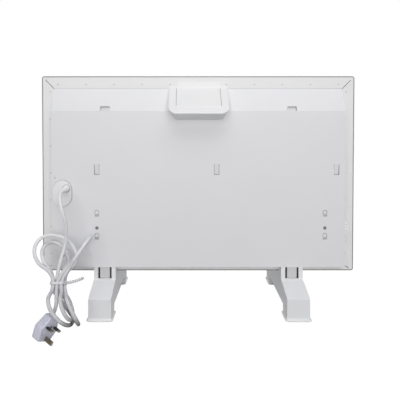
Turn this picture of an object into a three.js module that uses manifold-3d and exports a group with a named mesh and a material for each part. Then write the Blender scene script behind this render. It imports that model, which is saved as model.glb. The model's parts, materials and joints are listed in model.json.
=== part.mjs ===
// An electric panel heater on two feet, seen from its back: +X right, +Y towards the heater's front, +Z up.
// Millimetres. The origin is on the floor, under the middle of the feet.
import * as THREE from "three";
import { mergeVertices } from "three/addons/utils/BufferGeometryUtils.js";
import Module from "manifold-3d";

const wasm = await Module();
wasm.setup();

// Clearances
const seat = 0.3; // between pieces that rest on each other
const overrun = 2; // how far a cut runs past what it cuts
const halfTurn = Math.PI;
const quarterTurn = Math.PI / 2;
const degree = Math.PI / 180;

// Overall sizes
const panelWidth = 780;
const panelHeight = 488;
const panelBottom = 85; // floor to the casing's underside
const panelTop = panelBottom + panelHeight;
const casingCorner = 6;
const casingSheet = 1.2;
const flangeBack = -31; // the casing flange's rear face
const casingFront = 19; // the front panel's face
const frontDepth = 16; // how deep the front panel's tray is
const frameFront = casingFront - frontDepth - seat;
const frontLip = 12; // the frame's lip that the front panel bears on

// Rear cover
const coverSideInset = 30.5;
const coverWidth = panelWidth - 2 * coverSideInset;
const coverTopInset = 31.4;
const coverBottomInset = 18;
const coverTop = panelTop - coverTopInset;
const coverBottom = panelBottom + coverBottomInset;
const coverRise = 25; // how far the cover's back face stands behind the flange
const coverBack = flangeBack - coverRise;
const slopeHeight = 55; // height of the sloped top
const slopeBottom = coverTop - slopeHeight;
const coverSheet = 1;
const coverInside = coverBack + coverSheet;
const coverRim = 9; // the rim that lies inside the casing flange
const coverRunning = 0.6; // between the cover's walls and the flange's opening

// Feet
const footSpacingShare = 0.58846; // of the panel's width, between the middles of the two feet
const footSpacing = panelWidth * footSpacingShare;
const footWidth = 53;
const footHalfDepth = 116;
const footFlare = 4; // how far the plinth stands out near the floor
const footWall = 3;
const footTrim = 2; // radius at the arch's feet
const archRadius = 3;
const toeRadius = 5;
const legRadius = 3;
const padHeight = 1.2;

// Colours
const white = 0xdfe1e4;
const warmWhite = 0xd8d8da;
const brightWhite = 0xe6e8ea;
const plugGrey = 0xb4b7c4;
const aluminiumGrey = 0xb9bcc0;
const zincGrey = 0xa4a7aa;
const darkGrey = 0x3a3c40;
const paleGrey = 0xa9aaac;
const boardGreen = 0x2f5d46;
const ceramicCream = 0xe4dccb;
const brassYellow = 0xc2a258;

const heater = new THREE.Group();

// Materials and placing

function material(colour, roughness, metalness = 0) {
  return new THREE.MeshStandardMaterial({ color: colour, roughness, metalness });
}

const paintedSteel = material(white, 0.42, 0.1);
const whitePlastic = material(brightWhite, 0.5);
const footPlastic = material(warmWhite, 0.55);
const leadSheath = material(white, 0.6);
const plugPlastic = material(plugGrey, 0.45);
const rubber = material(paleGrey, 0.9);
const aluminium = material(aluminiumGrey, 0.35, 1);
const zinc = material(zincGrey, 0.4, 1);
const brass = material(brassYellow, 0.3, 1);
const ceramic = material(ceramicCream, 0.7);
const laminate = material(boardGreen, 0.6);
const darkWindow = material(darkGrey, 0.1);

function place(name, shape, finish, parent = heater) {
  const geometry = shape.isBufferGeometry ? shape : geometryOf(shape);
  const mesh = new THREE.Mesh(geometry, finish);
  mesh.name = name;
  parent.add(mesh);
  return mesh;
}

// Solids

function solid(geometry) {
  const bare = geometry.clone();
  bare.deleteAttribute("normal");
  bare.deleteAttribute("uv");
  const merged = mergeVertices(bare);
  const vertProperties = Float32Array.from(merged.attributes.position.array);
  const triVerts = Uint32Array.from(merged.index.array);
  return new wasm.Manifold(new wasm.Mesh({ numProp: 3, vertProperties, triVerts }));
}

function geometryOf(body) {
  const mesh = body.getMesh();
  const geometry = new THREE.BufferGeometry();
  geometry.setAttribute("position", new THREE.BufferAttribute(mesh.vertProperties, 3));
  geometry.setIndex(new THREE.BufferAttribute(mesh.triVerts, 1));
  return geometry;
}

function join(first, ...others) {
  return others.reduce((whole, other) => whole.add(other), first);
}

function cut(first, ...others) {
  return others.reduce((whole, other) => whole.subtract(other), first);
}

function block(x, y, z) {
  const [from, to] = [[x[0], y[0], z[0]], [x[1], y[1], z[1]]];
  const size = to.map((end, axis) => end - from[axis]);
  const geometry = new THREE.BoxGeometry(...size);
  return solid(geometry.translate(...size.map((length, axis) => from[axis] + length / 2)));
}

function extruded(outline, depth, curveSegments, steps = 1) {
  return new THREE.ExtrudeGeometry(outline, { depth, steps, curveSegments, bevelEnabled: false });
}

// An outline in X and Z, from rear to front
function plate(outline, rear, front, curveSegments = 4) {
  return solid(extruded(outline, front - rear, curveSegments).rotateX(quarterTurn).translate(0, front, 0));
}

// A profile in Y and Z, from left to right
function bar(profile, left, right, curveSegments = 4) {
  const axes = new THREE.Matrix4().makeBasis(
    new THREE.Vector3(0, 1, 0),
    new THREE.Vector3(0, 0, 1),
    new THREE.Vector3(1, 0, 0),
  );
  return solid(extruded(profile, right - left, curveSegments).applyMatrix4(axes).translate(left, 0, 0));
}

// An outline in X and Y, from low to high
function slab(outline, low, high, curveSegments = 4) {
  return solid(extruded(outline, high - low, curveSegments).translate(0, 0, low));
}

// A closed profile of [radius, height] pairs, turned about Z
function turned(profile, sides) {
  const points = profile.map(([radius, height]) => new THREE.Vector2(radius, height));
  return solid(new THREE.LatheGeometry(points, sides).rotateX(quarterTurn));
}

function rod(radius, low, high, sides = 16) {
  return turned([[0, low], [radius, low], [radius, high], [0, high]], sides);
}

// The same rod along +Y
function rodAlongY(radius, rear, front, x, z, sides = 16) {
  return rod(radius, -front, -rear, sides).rotate([90, 0, 0]).translate([x, 0, z]);
}

// The same rod along +X
function rodAlongX(radius, left, right, y, z, sides = 16) {
  return rod(radius, left, right, sides).rotate([0, 90, 0]).translate([0, y, z]);
}

// Outlines

function polygon(points) {
  return new THREE.Shape(points.map(([x, y]) => new THREE.Vector2(x, y)));
}

function rectangle(left, right, bottom, top, radius = 0) {
  const corners = [[left, bottom], [right, bottom], [right, top], [left, top]];
  return radius ? rounded(corners, corners.map(() => radius)) : polygon(corners);
}

// A polygon whose corners are rounded by arcs of the given radii
function rounded(points, radii) {
  const shape = new THREE.Shape();
  const corners = points.map(([x, y]) => new THREE.Vector2(x, y));
  corners.forEach((corner, index) => {
    const before = corners.at(index - 1);
    const after = corners[(index + 1) % corners.length];
    const back = before.clone().sub(corner).normalize();
    const ahead = after.clone().sub(corner).normalize();
    const half = Math.acos(THREE.MathUtils.clamp(back.dot(ahead), -1, 1)) / 2;
    const reach = radii[index] / Math.tan(half);
    const start = corner.clone().addScaledVector(back, reach);
    const end = corner.clone().addScaledVector(ahead, reach);
    if (index) shape.lineTo(start.x, start.y);
    else shape.moveTo(start.x, start.y);
    if (radii[index]) {
      const inwards = back.clone().add(ahead).normalize();
      const centre = inwards.multiplyScalar(radii[index] / Math.sin(half)).add(corner);
      const turn = back.cross(ahead) > 0;
      const from = start.clone().sub(centre).angle();
      const to = end.clone().sub(centre).angle();
      shape.absarc(centre.x, centre.y, radii[index], from, to, turn);
    }
  });
  shape.closePath();
  return shape;
}

// A polygon moved inwards by a wall, for a shell's inside
function inset(points, wall) {
  const edges = points.map(([x, y], index) => {
    const [nextX, nextY] = points[(index + 1) % points.length];
    const length = Math.hypot(nextX - x, nextY - y);
    const along = [(nextX - x) / length, (nextY - y) / length];
    return { point: [x - along[1] * wall, y + along[0] * wall], along };
  });
  return edges.map((edge, index) => {
    const before = edges.at(index - 1);
    const cross = before.along[0] * edge.along[1] - before.along[1] * edge.along[0];
    const apart = [edge.point[0] - before.point[0], edge.point[1] - before.point[1]];
    const share = (apart[0] * edge.along[1] - apart[1] * edge.along[0]) / cross;
    return [before.point[0] + before.along[0] * share, before.point[1] + before.along[1] * share];
  });
}

function stadium(length, width) {
  const radius = width / 2;
  const reach = length / 2 - radius;
  const shape = new THREE.Shape();
  shape.absarc(reach, 0, radius, -quarterTurn, quarterTurn, false);
  shape.absarc(-reach, 0, radius, quarterTurn, quarterTurn + halfTurn, false);
  shape.closePath();
  return shape;
}

// A round tube along points or a curve
function tube(curve, diameter, sides, steps) {
  const section = new THREE.Shape();
  for (let side = 0; side < sides; side++) {
    const angle = (side / sides) * 2 * halfTurn;
    const point = [Math.cos(angle) * diameter / 2, Math.sin(angle) * diameter / 2];
    if (side) section.lineTo(...point);
    else section.moveTo(...point);
  }
  section.closePath();
  return new THREE.ExtrudeGeometry(section, { steps, extrudePath: curve, bevelEnabled: false });
}

// Air slots, shared by the front panel and the frame's underside
const slotLength = 60;
const slotWidth = 5;
const slotPitchShare = 0.09744; // of the panel's width
const slotPitch = panelWidth * slotPitchShare;
const slotColumns = 9;
const slotRowPitch = 11;
const slotFromFoot = 6; // the least material between a slot and a foot's seat

function slotPlaces() {
  const middle = (slotColumns - 1) / 2;
  return Array.from({ length: slotColumns }, (_, column) => (column - middle) * slotPitch);
}

// Casing frame: side walls, rear flange with mitre slits, front lip and bottom air slots
const mitreWidth = 1.4;
const mitreFromCorner = 13; // sound metal left at each outer corner
const flangeHalfWidth = coverWidth / 2 + coverRunning;
const flangeOpening = [
  -flangeHalfWidth, flangeHalfWidth, coverBottom - coverRunning, coverTop + coverRunning,
];
const intakeRows = 2;
const footScrewY = -14;
const footScrewSpread = 28; // between the two screws of a foot
const footScrewRadius = 2;
const footScrewHole = 2.4;

function casingFrame() {
  const left = -panelWidth / 2;
  const right = panelWidth / 2;
  const outside = rectangle(left, right, panelBottom, panelTop, casingCorner);
  const inside = rectangle(
    left + casingSheet, right - casingSheet, panelBottom + casingSheet, panelTop - casingSheet,
    casingCorner - casingSheet,
  );
  const lipOpening = rectangle(
    left + frontLip, right - frontLip, panelBottom + frontLip, panelTop - frontLip,
  );
  const walls = plate(outside, flangeBack, frameFront);
  const hollow = plate(inside, flangeBack + casingSheet, frameFront - casingSheet);
  const throughFlange = [flangeBack - overrun, flangeBack + casingSheet + overrun];
  const rearWindow = plate(rectangle(...flangeOpening), ...throughFlange);
  const frontWindow = plate(lipOpening, frameFront - casingSheet - overrun, frameFront + overrun);
  const slits = [];
  for (const side of [-1, 1]) {
    for (const end of [-1, 1]) {
      const inner = [side * flangeHalfWidth, end > 0 ? flangeOpening[3] : flangeOpening[2]];
      const corner = [side * panelWidth / 2, end > 0 ? panelTop : panelBottom];
      const reach = Math.hypot(corner[0] - inner[0], corner[1] - inner[1]) - mitreFromCorner;
      const angle = Math.atan2(corner[1] - inner[1], corner[0] - inner[0]);
      const slit = block([-overrun, reach], throughFlange, [-mitreWidth / 2, mitreWidth / 2]);
      slits.push(slit.rotate([0, -angle / degree, 0]).translate([inner[0], 0, inner[1]]));
    }
  }
  const bottom = [panelBottom - overrun, panelBottom + casingSheet + overrun];
  const middleY = (flangeBack + frameFront) / 2;
  const slots = [];
  for (const x of slotPlaces()) {
    const fromFoot = Math.abs(Math.abs(x) - footSpacing / 2) - (slotLength + footWidth) / 2;
    if (fromFoot < slotFromFoot) continue;
    for (let row = 0; row < intakeRows; row++) {
      const y = middleY + (row - (intakeRows - 1) / 2) * slotRowPitch;
      slots.push(slab(stadium(slotLength, slotWidth), ...bottom).translate([x, y, 0]));
    }
  }
  const holes = [];
  for (const side of [-1, 1]) {
    for (const end of [-1, 1]) {
      const x = side * footSpacing / 2 + end * footScrewSpread / 2;
      holes.push(rod(footScrewHole, ...bottom).translate([x, footScrewY, 0]));
    }
  }
  return cut(walls, hollow, rearWindow, frontWindow, ...slits, ...slots, ...holes);
}

// Front panel: a shallow tray with a bevelled face and rows of outlet slots
const frontBevel = 2;
const outletRows = 3;
const outletFromTop = 28; // panel top to the middle of the outlet rows

function frontPanel() {
  const left = -panelWidth / 2;
  const right = panelWidth / 2;
  const shrink = frontBevel;
  const outline = rectangle(
    left + shrink, right - shrink, panelBottom + shrink, panelTop - shrink, casingCorner - shrink,
  );
  const bevelled = new THREE.ExtrudeGeometry(outline, {
    depth: frontDepth, bevelSize: frontBevel, bevelThickness: frontBevel, bevelSegments: 2, curveSegments: 4,
  });
  const outside = solid(bevelled.rotateX(quarterTurn).translate(0, casingFront - frontBevel, 0));
  const rear = casingFront - frontDepth;
  const wide = plate(
    rectangle(left - overrun, right + overrun, panelBottom - overrun, panelTop + overrun),
    rear - frontDepth, rear,
  );
  const inside = rectangle(
    left + casingSheet, right - casingSheet, panelBottom + casingSheet, panelTop - casingSheet,
    casingCorner - casingSheet,
  );
  const hollow = plate(inside, rear - overrun, casingFront - frontBevel);
  const slots = [];
  for (const x of slotPlaces()) {
    for (let row = 0; row < outletRows; row++) {
      const z = panelTop - outletFromTop + (row - (outletRows - 1) / 2) * slotRowPitch;
      const slot = plate(stadium(slotLength, slotWidth), casingFront - frontDepth, casingFront + overrun);
      slots.push(slot.translate([x, 0, z]));
    }
  }
  return cut(outside, wide, hollow, ...slots);
}

// Rear cover: a pressed pan with a sloped top, and what is punched and lanced in its back
const bracketSlotWidth = 23;
const bracketSlotHeight = 11;
const bracketSlotsCloser = 2; // than the feet
const bracketSlotSpacing = footSpacing - bracketSlotsCloser;
const tabWidth = 12.7;
const tabHeight = 26;
const tabGap = 0.9;
const tabSink = 2.5; // how far a tab's tip is bent in
const tabSheet = 0.8;
const tabZShare = 0.52971; // of the panel's height
const tabXShares = [-0.34562, 0.06189, 0.4694]; // of the cover's width
const tabZ = panelBottom + panelHeight * tabZShare;
const lanceColumnShares = [-0.3459, 0.4306]; // of the cover's width
const lanceColumns = lanceColumnShares.map((share) => share * coverWidth);
const lanceWidth = 11;
const lanceSlit = 1.6;
const lanceLeg = 5;
const bracketScrewZShare = 0.23525; // of the panel's height
const bracketScrewZ = panelBottom + panelHeight * bracketScrewZShare;
const lanceAbove = 44.7; // from the bracket's screw hole up to the upper lance's crown
const lanceBelow = 11.8; // and down to the lower one's
const lanceTops = [bracketScrewZ + lanceAbove, bracketScrewZ - lanceBelow];
const lanceToOval = 13.5; // from a lance's crown to the middle of the oval below it
const ovalHeight = 7;
const bracketScrewHole = 4.2;
const wireHole = 7; // radius, under the control housing
const wireHoleZ = coverTop - slopeHeight / 2;

// Thermostat thumbwheel, in a slot of the cover's right side wall
const wheelRadius = 20;
const wheelProud = 12; // how far it stands out of the wall
const wheelThickness = 10;
const wheelSink = 5.5; // from the cover's back face to the wheel's
const wheelRear = coverBack + wheelSink;
const wheelFront = wheelRear + wheelThickness;
const wheelX = coverWidth / 2 + wheelProud - wheelRadius;
const wheelZShare = 0.23402; // of the panel's height
const wheelZ = panelBottom + panelHeight * wheelZShare;
const wheelClearance = 0.8;

// Cable entry
const cablePlateFromSide = 26.8; // the cover's left side to the plate's middle
const cablePlateZShare = 0.41107; // of the panel's height
const cablePlateX = cablePlateFromSide - coverWidth / 2;
const cablePlateZ = panelBottom + panelHeight * cablePlateZShare;
const cablePlateWidth = 46;
const cablePlateHeight = 63.4;
const cablePlateThickness = 3;
const glandRight = 10.7; // from the plate's middle
const glandUp = 11.7;
const glandX = cablePlateX + glandRight;
const glandZ = cablePlateZ + glandUp;
const glandNeck = 6.5; // radius through the sheet and the plate
const glandHole = glandNeck + seat;

// Screws in the cover near its left edge
const upperScrew = { fromSide: 8.5, abovePlate: 37.8 };
const lowerScrew = { fromSide: 28.3, aboveBottom: 29 };
const coverScrewPlaces = {
  cover_screw_upper: [upperScrew.fromSide - coverWidth / 2, cablePlateZ + upperScrew.abovePlate],
  cover_screw_lower: [lowerScrew.fromSide - coverWidth / 2, coverBottom + lowerScrew.aboveBottom],
};
const coverScrewRadius = 1.6;
const coverScrewHole = 2;
const coverScrewHead = 3;
const coverScrewHeadHeight = 1.2;
const coverScrewLength = 9;

function tabCentres() {
  return tabXShares.map((share) => share * coverWidth);
}

function lance(x, top) {
  const outer = lanceWidth / 2;
  const inner = outer - lanceSlit;
  const arch = new THREE.Shape();
  arch.moveTo(outer, -lanceLeg);
  arch.lineTo(outer, 0);
  arch.absarc(0, 0, outer, 0, halfTurn, false);
  arch.lineTo(-outer, -lanceLeg);
  arch.lineTo(-inner, -lanceLeg);
  arch.lineTo(-inner, 0);
  arch.absarc(0, 0, inner, halfTurn, 0, true);
  arch.lineTo(inner, -lanceLeg);
  arch.closePath();
  const through = [coverBack - overrun, coverInside + overrun];
  const slit = plate(arch, ...through).translate([x, 0, top - outer]);
  const oval = plate(stadium(lanceWidth, ovalHeight), ...through).translate([x, 0, top - lanceToOval]);
  return [slit, oval];
}

function tab(x) {
  const top = tabZ + tabHeight / 2;
  const bottom = tabZ - tabHeight / 2 + tabGap;
  const profile = polygon([
    [coverBack, top + tabGap], [coverInside, top + tabGap], [coverInside + tabSink, bottom],
    [coverInside + tabSink - tabSheet, bottom], [coverBack, top - tabGap],
  ]);
  const half = tabWidth / 2 - tabGap;
  return bar(profile, x - half, x + half);
}

function rearCover() {
  const half = coverWidth / 2;
  const rimBack = flangeBack + casingSheet + seat;
  const rimFront = rimBack + coverSheet;
  const profile = [
    [rimFront, coverTop], [flangeBack, coverTop], [coverBack, slopeBottom],
    [coverBack, coverBottom], [rimFront, coverBottom],
  ];
  const insidePoints = inset(profile, coverSheet);
  insidePoints[0][0] = rimFront + overrun;
  insidePoints.at(-1)[0] = rimFront + overrun;
  const inside = bar(polygon(insidePoints), coverSheet - half, half - coverSheet);
  const pan = cut(bar(polygon(profile), -half, half), inside);
  const rimOutline = rectangle(
    -half - coverRim, half + coverRim, coverBottom - coverRim, coverTop + coverRim,
  );
  const rimHole = rectangle(
    coverSheet - half, half - coverSheet, coverBottom + coverSheet, coverTop - coverSheet,
  );
  const throughRim = plate(rimHole, rimBack - overrun, rimFront + overrun);
  const rim = cut(plate(rimOutline, rimBack, rimFront), throughRim);
  const cuts = [];
  const through = [coverBack - overrun, coverInside + overrun];
  for (const side of [-1, 1]) {
    const middle = side * bracketSlotSpacing / 2;
    const ends = [middle - bracketSlotWidth / 2, middle + bracketSlotWidth / 2];
    const slot = rectangle(...ends, slopeBottom, slopeBottom + bracketSlotHeight);
    cuts.push(plate(slot, coverBack - overrun, coverBack + bracketSlotHeight));
  }
  const tabs = [];
  for (const x of tabCentres()) {
    const window = rectangle(
      x - tabWidth / 2, x + tabWidth / 2, tabZ - tabHeight / 2, tabZ + tabHeight / 2,
    );
    cuts.push(plate(window, ...through));
    tabs.push(tab(x));
  }
  for (const x of lanceColumns) {
    for (const top of lanceTops) cuts.push(...lance(x, top));
    cuts.push(rodAlongY(bracketScrewHole, ...through, x, bracketScrewZ));
  }
  const wheelWall = [wheelRear - wheelClearance, wheelFront + wheelClearance];
  const chord = Math.sqrt(wheelRadius ** 2 - (wheelRadius - wheelProud) ** 2) + wheelClearance;
  const throughWall = [half - coverSheet - overrun, half + overrun];
  cuts.push(block(throughWall, wheelWall, [wheelZ - chord, wheelZ + chord]));
  cuts.push(rodAlongY(glandHole, ...through, glandX, glandZ));
  cuts.push(rodAlongY(wireHole, coverBack - overrun, flangeBack, 0, wireHoleZ));
  for (const [x, z] of Object.values(coverScrewPlaces)) {
    cuts.push(rodAlongY(coverScrewHole, ...through, x, z, 10));
  }
  return join(cut(join(pan, rim), ...cuts), ...tabs);
}

function coverScrew([x, z]) {
  const underHead = coverBack - seat;
  const head = rodAlongY(coverScrewHead, underHead - coverScrewHeadHeight, underHead, x, z, 12);
  const shank = rodAlongY(coverScrewRadius, underHead - seat, underHead + coverScrewLength, x, z, 10);
  return join(head, shank);
}

place("front_panel", frontPanel(), paintedSteel);
place("casing_frame", casingFrame(), paintedSteel);
place("rear_cover", rearCover(), paintedSteel);
for (const [name, where] of Object.entries(coverScrewPlaces)) place(name, coverScrew(where), zinc);

// Heat shield, hooked on the cover's tabs
const shieldSheet = 1;
const shieldPastBracket = 13.3; // how far its left end lies beyond the left bracket's middle
const shieldFromSide = 7.5;
const shieldEnds = [lanceColumns[0] - shieldPastBracket, coverWidth / 2 - shieldFromSide];
const shieldBelowTabs = 76.5;
const shieldBelowSlope = 31.6;
const shieldBottom = tabZ - shieldBelowTabs;
const shieldTop = slopeBottom - shieldBelowSlope;
const shieldLip = 12;
const shieldBack = coverInside + tabSink + seat;

function heatShield() {
  const lip = shieldBack + shieldLip;
  const front = shieldBack + shieldSheet;
  const profile = polygon([
    [shieldBack, shieldBottom], [lip, shieldBottom], [lip, shieldBottom + shieldSheet],
    [front, shieldBottom + shieldSheet], [front, shieldTop - shieldSheet], [lip, shieldTop - shieldSheet],
    [lip, shieldTop], [shieldBack, shieldTop],
  ]);
  return bar(profile, ...shieldEnds);
}

place("heat_shield", heatShield(), aluminium);

// Pockets behind the bracket slots: a plate that lies along the slope, with a flange at its foot and its top
const pocketDepth = 5; // from the slope's back face to the plate
const pocketBelow = 7; // how far its floor lies below the slots
const pocketAbove = 20; // how far it reaches above their lower edge
const pocketBeside = 5; // how far it reaches past a slot's ends

function slotPocket(x) {
  const lean = coverRise / slopeHeight;
  const slopeAt = (z) => coverBack + (z - slopeBottom) * lean;
  const low = slopeBottom - pocketBelow;
  const top = slopeBottom + pocketAbove;
  const half = bracketSlotWidth / 2 + pocketBeside;
  const rear = coverInside + seat;
  const foot = coverBack + pocketDepth;
  const head = slopeAt(top) + pocketDepth;
  const sheet = coverSheet * Math.hypot(1, lean);
  const underSlope = slopeAt(top) + sheet + seat;
  const profile = polygon([
    [rear, low], [foot + sheet, low], [foot + sheet, slopeBottom], [head + sheet, top],
    [underSlope, top], [underSlope - coverSheet * lean, top - coverSheet],
    [head - coverSheet * lean, top - coverSheet], [foot, slopeBottom],
    [foot, low + coverSheet], [rear, low + coverSheet],
  ]);
  return bar(profile, x - half, x + half);
}

["left", "right"].forEach((side, index) => {
  const x = (index ? 1 : -1) * bracketSlotSpacing / 2;
  place(`slot_pocket_${side}`, slotPocket(x), paintedSteel);
});

// Heating element: a finned bar between two brackets
const elementY = -16;
const elementCore = 8; // radius
const finReach = 25; // tip radius
const finThickness = 2;
const finCount = 8;
const bracketHalfWidth = 14;
const bracketSheet = 1.2;
const bracketBelow = 36.8; // how far it reaches below its screw
const bracketHeight = 86;
const bracketBottom = bracketScrewZ - bracketBelow;
const bracketArmFront = 4;
const bracketArmHalf = 25; // half the arm's height
const capNeck = 8; // radius through the bracket
const capCollar = 13;
const capCollarLength = 6;
const capNeckLength = 6;
const pinRadius = 2;
const pinLength = 12;
const capHole = capNeck + seat;

const bracketInner = [lanceColumns[0] + bracketHalfWidth, lanceColumns[1] - bracketHalfWidth];
const elementEnds = [
  bracketInner[0] + seat + capCollarLength + seat, bracketInner[1] - seat - capCollarLength - seat,
];

function heatingElement() {
  const shape = new THREE.Shape();
  const half = finThickness / 2;
  const root = Math.sqrt(elementCore ** 2 - half ** 2);
  for (let fin = 0; fin < finCount; fin++) {
    const angle = (fin / finCount) * 2 * halfTurn;
    const corners = [[root, -half], [finReach, -half], [finReach, half], [root, half]];
    corners.forEach(([along, across], index) => {
      const x = elementY + along * Math.cos(angle) - across * Math.sin(angle);
      const y = bracketScrewZ + along * Math.sin(angle) + across * Math.cos(angle);
      if (fin || index) shape.lineTo(x, y);
      else shape.moveTo(x, y);
    });
  }
  shape.closePath();
  return bar(shape, ...elementEnds);
}

function elementCap(inner, outward) {
  const collarStart = inner - outward * (seat + capCollarLength);
  const collarEnd = inner - outward * seat;
  const neckEnd = inner + outward * capNeckLength;
  const pinEnd = neckEnd + outward * pinLength;
  const span = (from, to) => [Math.min(from, to), Math.max(from, to)];
  return join(
    rodAlongX(capCollar, ...span(collarStart, collarEnd), elementY, bracketScrewZ),
    rodAlongX(capNeck, ...span(collarStart, neckEnd), elementY, bracketScrewZ),
    rodAlongX(pinRadius, ...span(collarStart, pinEnd), elementY, bracketScrewZ, 10),
  );
}

function elementBracket(x, inner, outward) {
  const rear = coverInside + seat;
  const base = block(
    [x - bracketHalfWidth, x + bracketHalfWidth], [rear, rear + bracketSheet],
    [bracketBottom, bracketBottom + bracketHeight],
  );
  const armSpan = outward < 0 ? [inner - bracketSheet, inner] : [inner, inner + bracketSheet];
  const armZ = [bracketScrewZ - bracketArmHalf, bracketScrewZ + bracketArmHalf];
  const arm = block(armSpan, [rear, bracketArmFront], armZ);
  const hole = rodAlongX(capHole, armSpan[0] - overrun, armSpan[1] + overrun, elementY, bracketScrewZ);
  const screwHole = rodAlongY(pinRadius, rear - overrun, rear + bracketSheet + overrun, x, bracketScrewZ, 10);
  return cut(join(base, arm), hole, screwHole);
}

place("heating_element", heatingElement(), aluminium);
["left", "right"].forEach((side, index) => {
  const outward = index ? 1 : -1;
  place(`element_cap_${side}`, elementCap(bracketInner[index], outward), ceramic);
  place(`element_bracket_${side}`, elementBracket(lanceColumns[index], bracketInner[index], outward), zinc);
});

// Thermal cut-out on the shield's front
const cutoutFromEnd = 62; // from the shield's left end
const cutoutUp = 24; // from the shield's lower edge
const cutoutX = shieldEnds[0] + cutoutFromEnd;
const cutoutZ = shieldBottom + cutoutUp;
const cutoutRadius = 8;
const cutoutLength = 9;
const cutoutEar = 26;
const cutoutEarHeight = 10;
const cutoutEarSheet = 1;

function thermalCutout() {
  const rear = shieldBack + shieldSheet + seat;
  const disc = rodAlongY(cutoutRadius, rear, rear + cutoutLength, cutoutX, cutoutZ, 20);
  const ear = plate(stadium(cutoutEar, cutoutEarHeight), rear, rear + cutoutEarSheet);
  return join(disc, ear.translate([cutoutX, 0, cutoutZ]));
}

place("thermal_cutout", thermalCutout(), ceramic);

// Terminal block and tilt switch, on the cover's inside
const terminalFromSide = 11.5;
const terminalWidth = 44;
const terminalHeight = 20;
const terminalBelowGland = 54.3;
const terminalLeft = terminalFromSide - coverWidth / 2;
const terminalSpan = [terminalLeft, terminalLeft + terminalWidth];
const terminalZ = [glandZ - terminalBelowGland - terminalHeight, glandZ - terminalBelowGland];
const terminalDepth = 15;
const terminalWays = 3;
const terminalBore = 2.4;
const tiltFromSide = 13.5;
const tiltWidth = 26;
const tiltHeight = 24;
const tiltUp = 52; // from the cover's lower edge
const tiltLeft = tiltFromSide - coverWidth / 2;
const tiltSpan = [tiltLeft, tiltLeft + tiltWidth];
const tiltZ = [coverBottom + tiltUp, coverBottom + tiltUp + tiltHeight];
const tiltDepth = 12;
const tiltBarrel = 8;

function terminalBlock() {
  const rear = coverInside + seat;
  const body = block(terminalSpan, [rear, rear + terminalDepth], terminalZ);
  const pitch = (terminalSpan[1] - terminalSpan[0]) / terminalWays;
  const bores = Array.from({ length: terminalWays }, (_, way) => {
    const x = terminalSpan[0] + pitch * (way + 1 / 2);
    const y = rear + terminalDepth / 2;
    return rod(terminalBore, terminalZ[0] - overrun, terminalZ[1] + overrun, 10).translate([x, y, 0]);
  });
  return cut(body, ...bores);
}

function tiltSwitch() {
  const rear = coverInside + seat;
  const base = block(tiltSpan, [rear, rear + tiltDepth / 2], tiltZ);
  const middleX = (tiltSpan[0] + tiltSpan[1]) / 2;
  const barrel = rodAlongY(tiltBarrel, rear, rear + tiltDepth, middleX, (tiltZ[0] + tiltZ[1]) / 2, 20);
  return join(base, barrel);
}

place("terminal_block", terminalBlock(), ceramic);
place("tilt_switch", tiltSwitch(), whitePlastic);

// Thermostat: a body on the cover's rim, a shaft and a ribbed thumbwheel
const thermostatHalf = 15;
const thermostatDepth = 21;
const thermostatEar = 18;
const thermostatEarHeight = 24;
const thermostatEarSheet = 1.4;
const shaftRadius = 3;
const shaftClearance = 0.3;
const shaftInBody = 10;
const wheelRibs = 30;
const wheelRibDepth = 1;
const wheelRibShares = [0, 0.4, 0.5, 0.9]; // of a rib's pitch: its crest's ends, then its valley's
const wheelHub = 7; // radius of the hub that stands forward of the wheel
const wheelHubLength = 3;

function thermostatBody() {
  const rear = flangeBack + casingSheet + seat + coverSheet + seat;
  const body = block(
    [wheelX - thermostatHalf, wheelX + thermostatHalf], [rear, rear + thermostatDepth],
    [wheelZ - thermostatHalf, wheelZ + thermostatHalf],
  );
  const ear = block(
    [wheelX, wheelX + thermostatHalf + thermostatEar], [rear, rear + thermostatEarSheet],
    [wheelZ - thermostatEarHeight / 2, wheelZ + thermostatEarHeight / 2],
  );
  const bore = rodAlongY(
    shaftRadius + shaftClearance, rear - overrun, rear + shaftInBody + shaftClearance, wheelX, wheelZ,
  );
  return { body: cut(join(body, ear), bore), rear };
}

function thermostatWheel() {
  const outline = new THREE.Shape();
  for (let rib = 0; rib < wheelRibs; rib++) {
    wheelRibShares.forEach((share, corner) => {
      const radius = corner < wheelRibShares.length / 2 ? wheelRadius : wheelRadius - wheelRibDepth;
      const angle = ((rib + share) / wheelRibs) * 2 * halfTurn;
      const point = [Math.cos(angle) * radius, Math.sin(angle) * radius];
      if (rib || corner) outline.lineTo(...point);
      else outline.moveTo(...point);
    });
  }
  outline.closePath();
  const disc = plate(outline, wheelRear, wheelFront).translate([wheelX, 0, wheelZ]);
  const hub = rodAlongY(wheelHub, wheelFront - overrun, wheelFront + wheelHubLength, wheelX, wheelZ);
  const boreEnds = [wheelRear + wheelThickness / 4, wheelFront + wheelHubLength + overrun];
  return cut(join(disc, hub), rodAlongY(shaftRadius + shaftClearance, ...boreEnds, wheelX, wheelZ));
}

const thermostat = thermostatBody();
place("thermostat_body", thermostat.body, whitePlastic);
const shaftSpan = [wheelRear + wheelThickness / 4 + shaftClearance, thermostat.rear + shaftInBody];
place("thermostat_shaft", rodAlongY(shaftRadius, ...shaftSpan, wheelX, wheelZ), zinc);
place("thermostat_wheel", thermostatWheel(), whitePlastic);

// Cable plate and gland
const glandCollar = 9;
const glandCollarLength = 3;
const glandRing = 8.5;
const glandRingLength = 2.5;
const glandRoot = 7;
const glandTip = 5.4;
const glandLength = 26; // the tapered relief behind the plate
const glandGrooves = 4;
const glandGrooveDepth = 0.9;
const glandGrooveShares = [0.5, 0.6, 0.9, 1]; // of a groove's pitch: its edge, its floor's two ends, its edge

const plateRear = coverBack - seat - cablePlateThickness;
const glandEnd = plateRear - seat - glandRingLength - glandLength;

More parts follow.
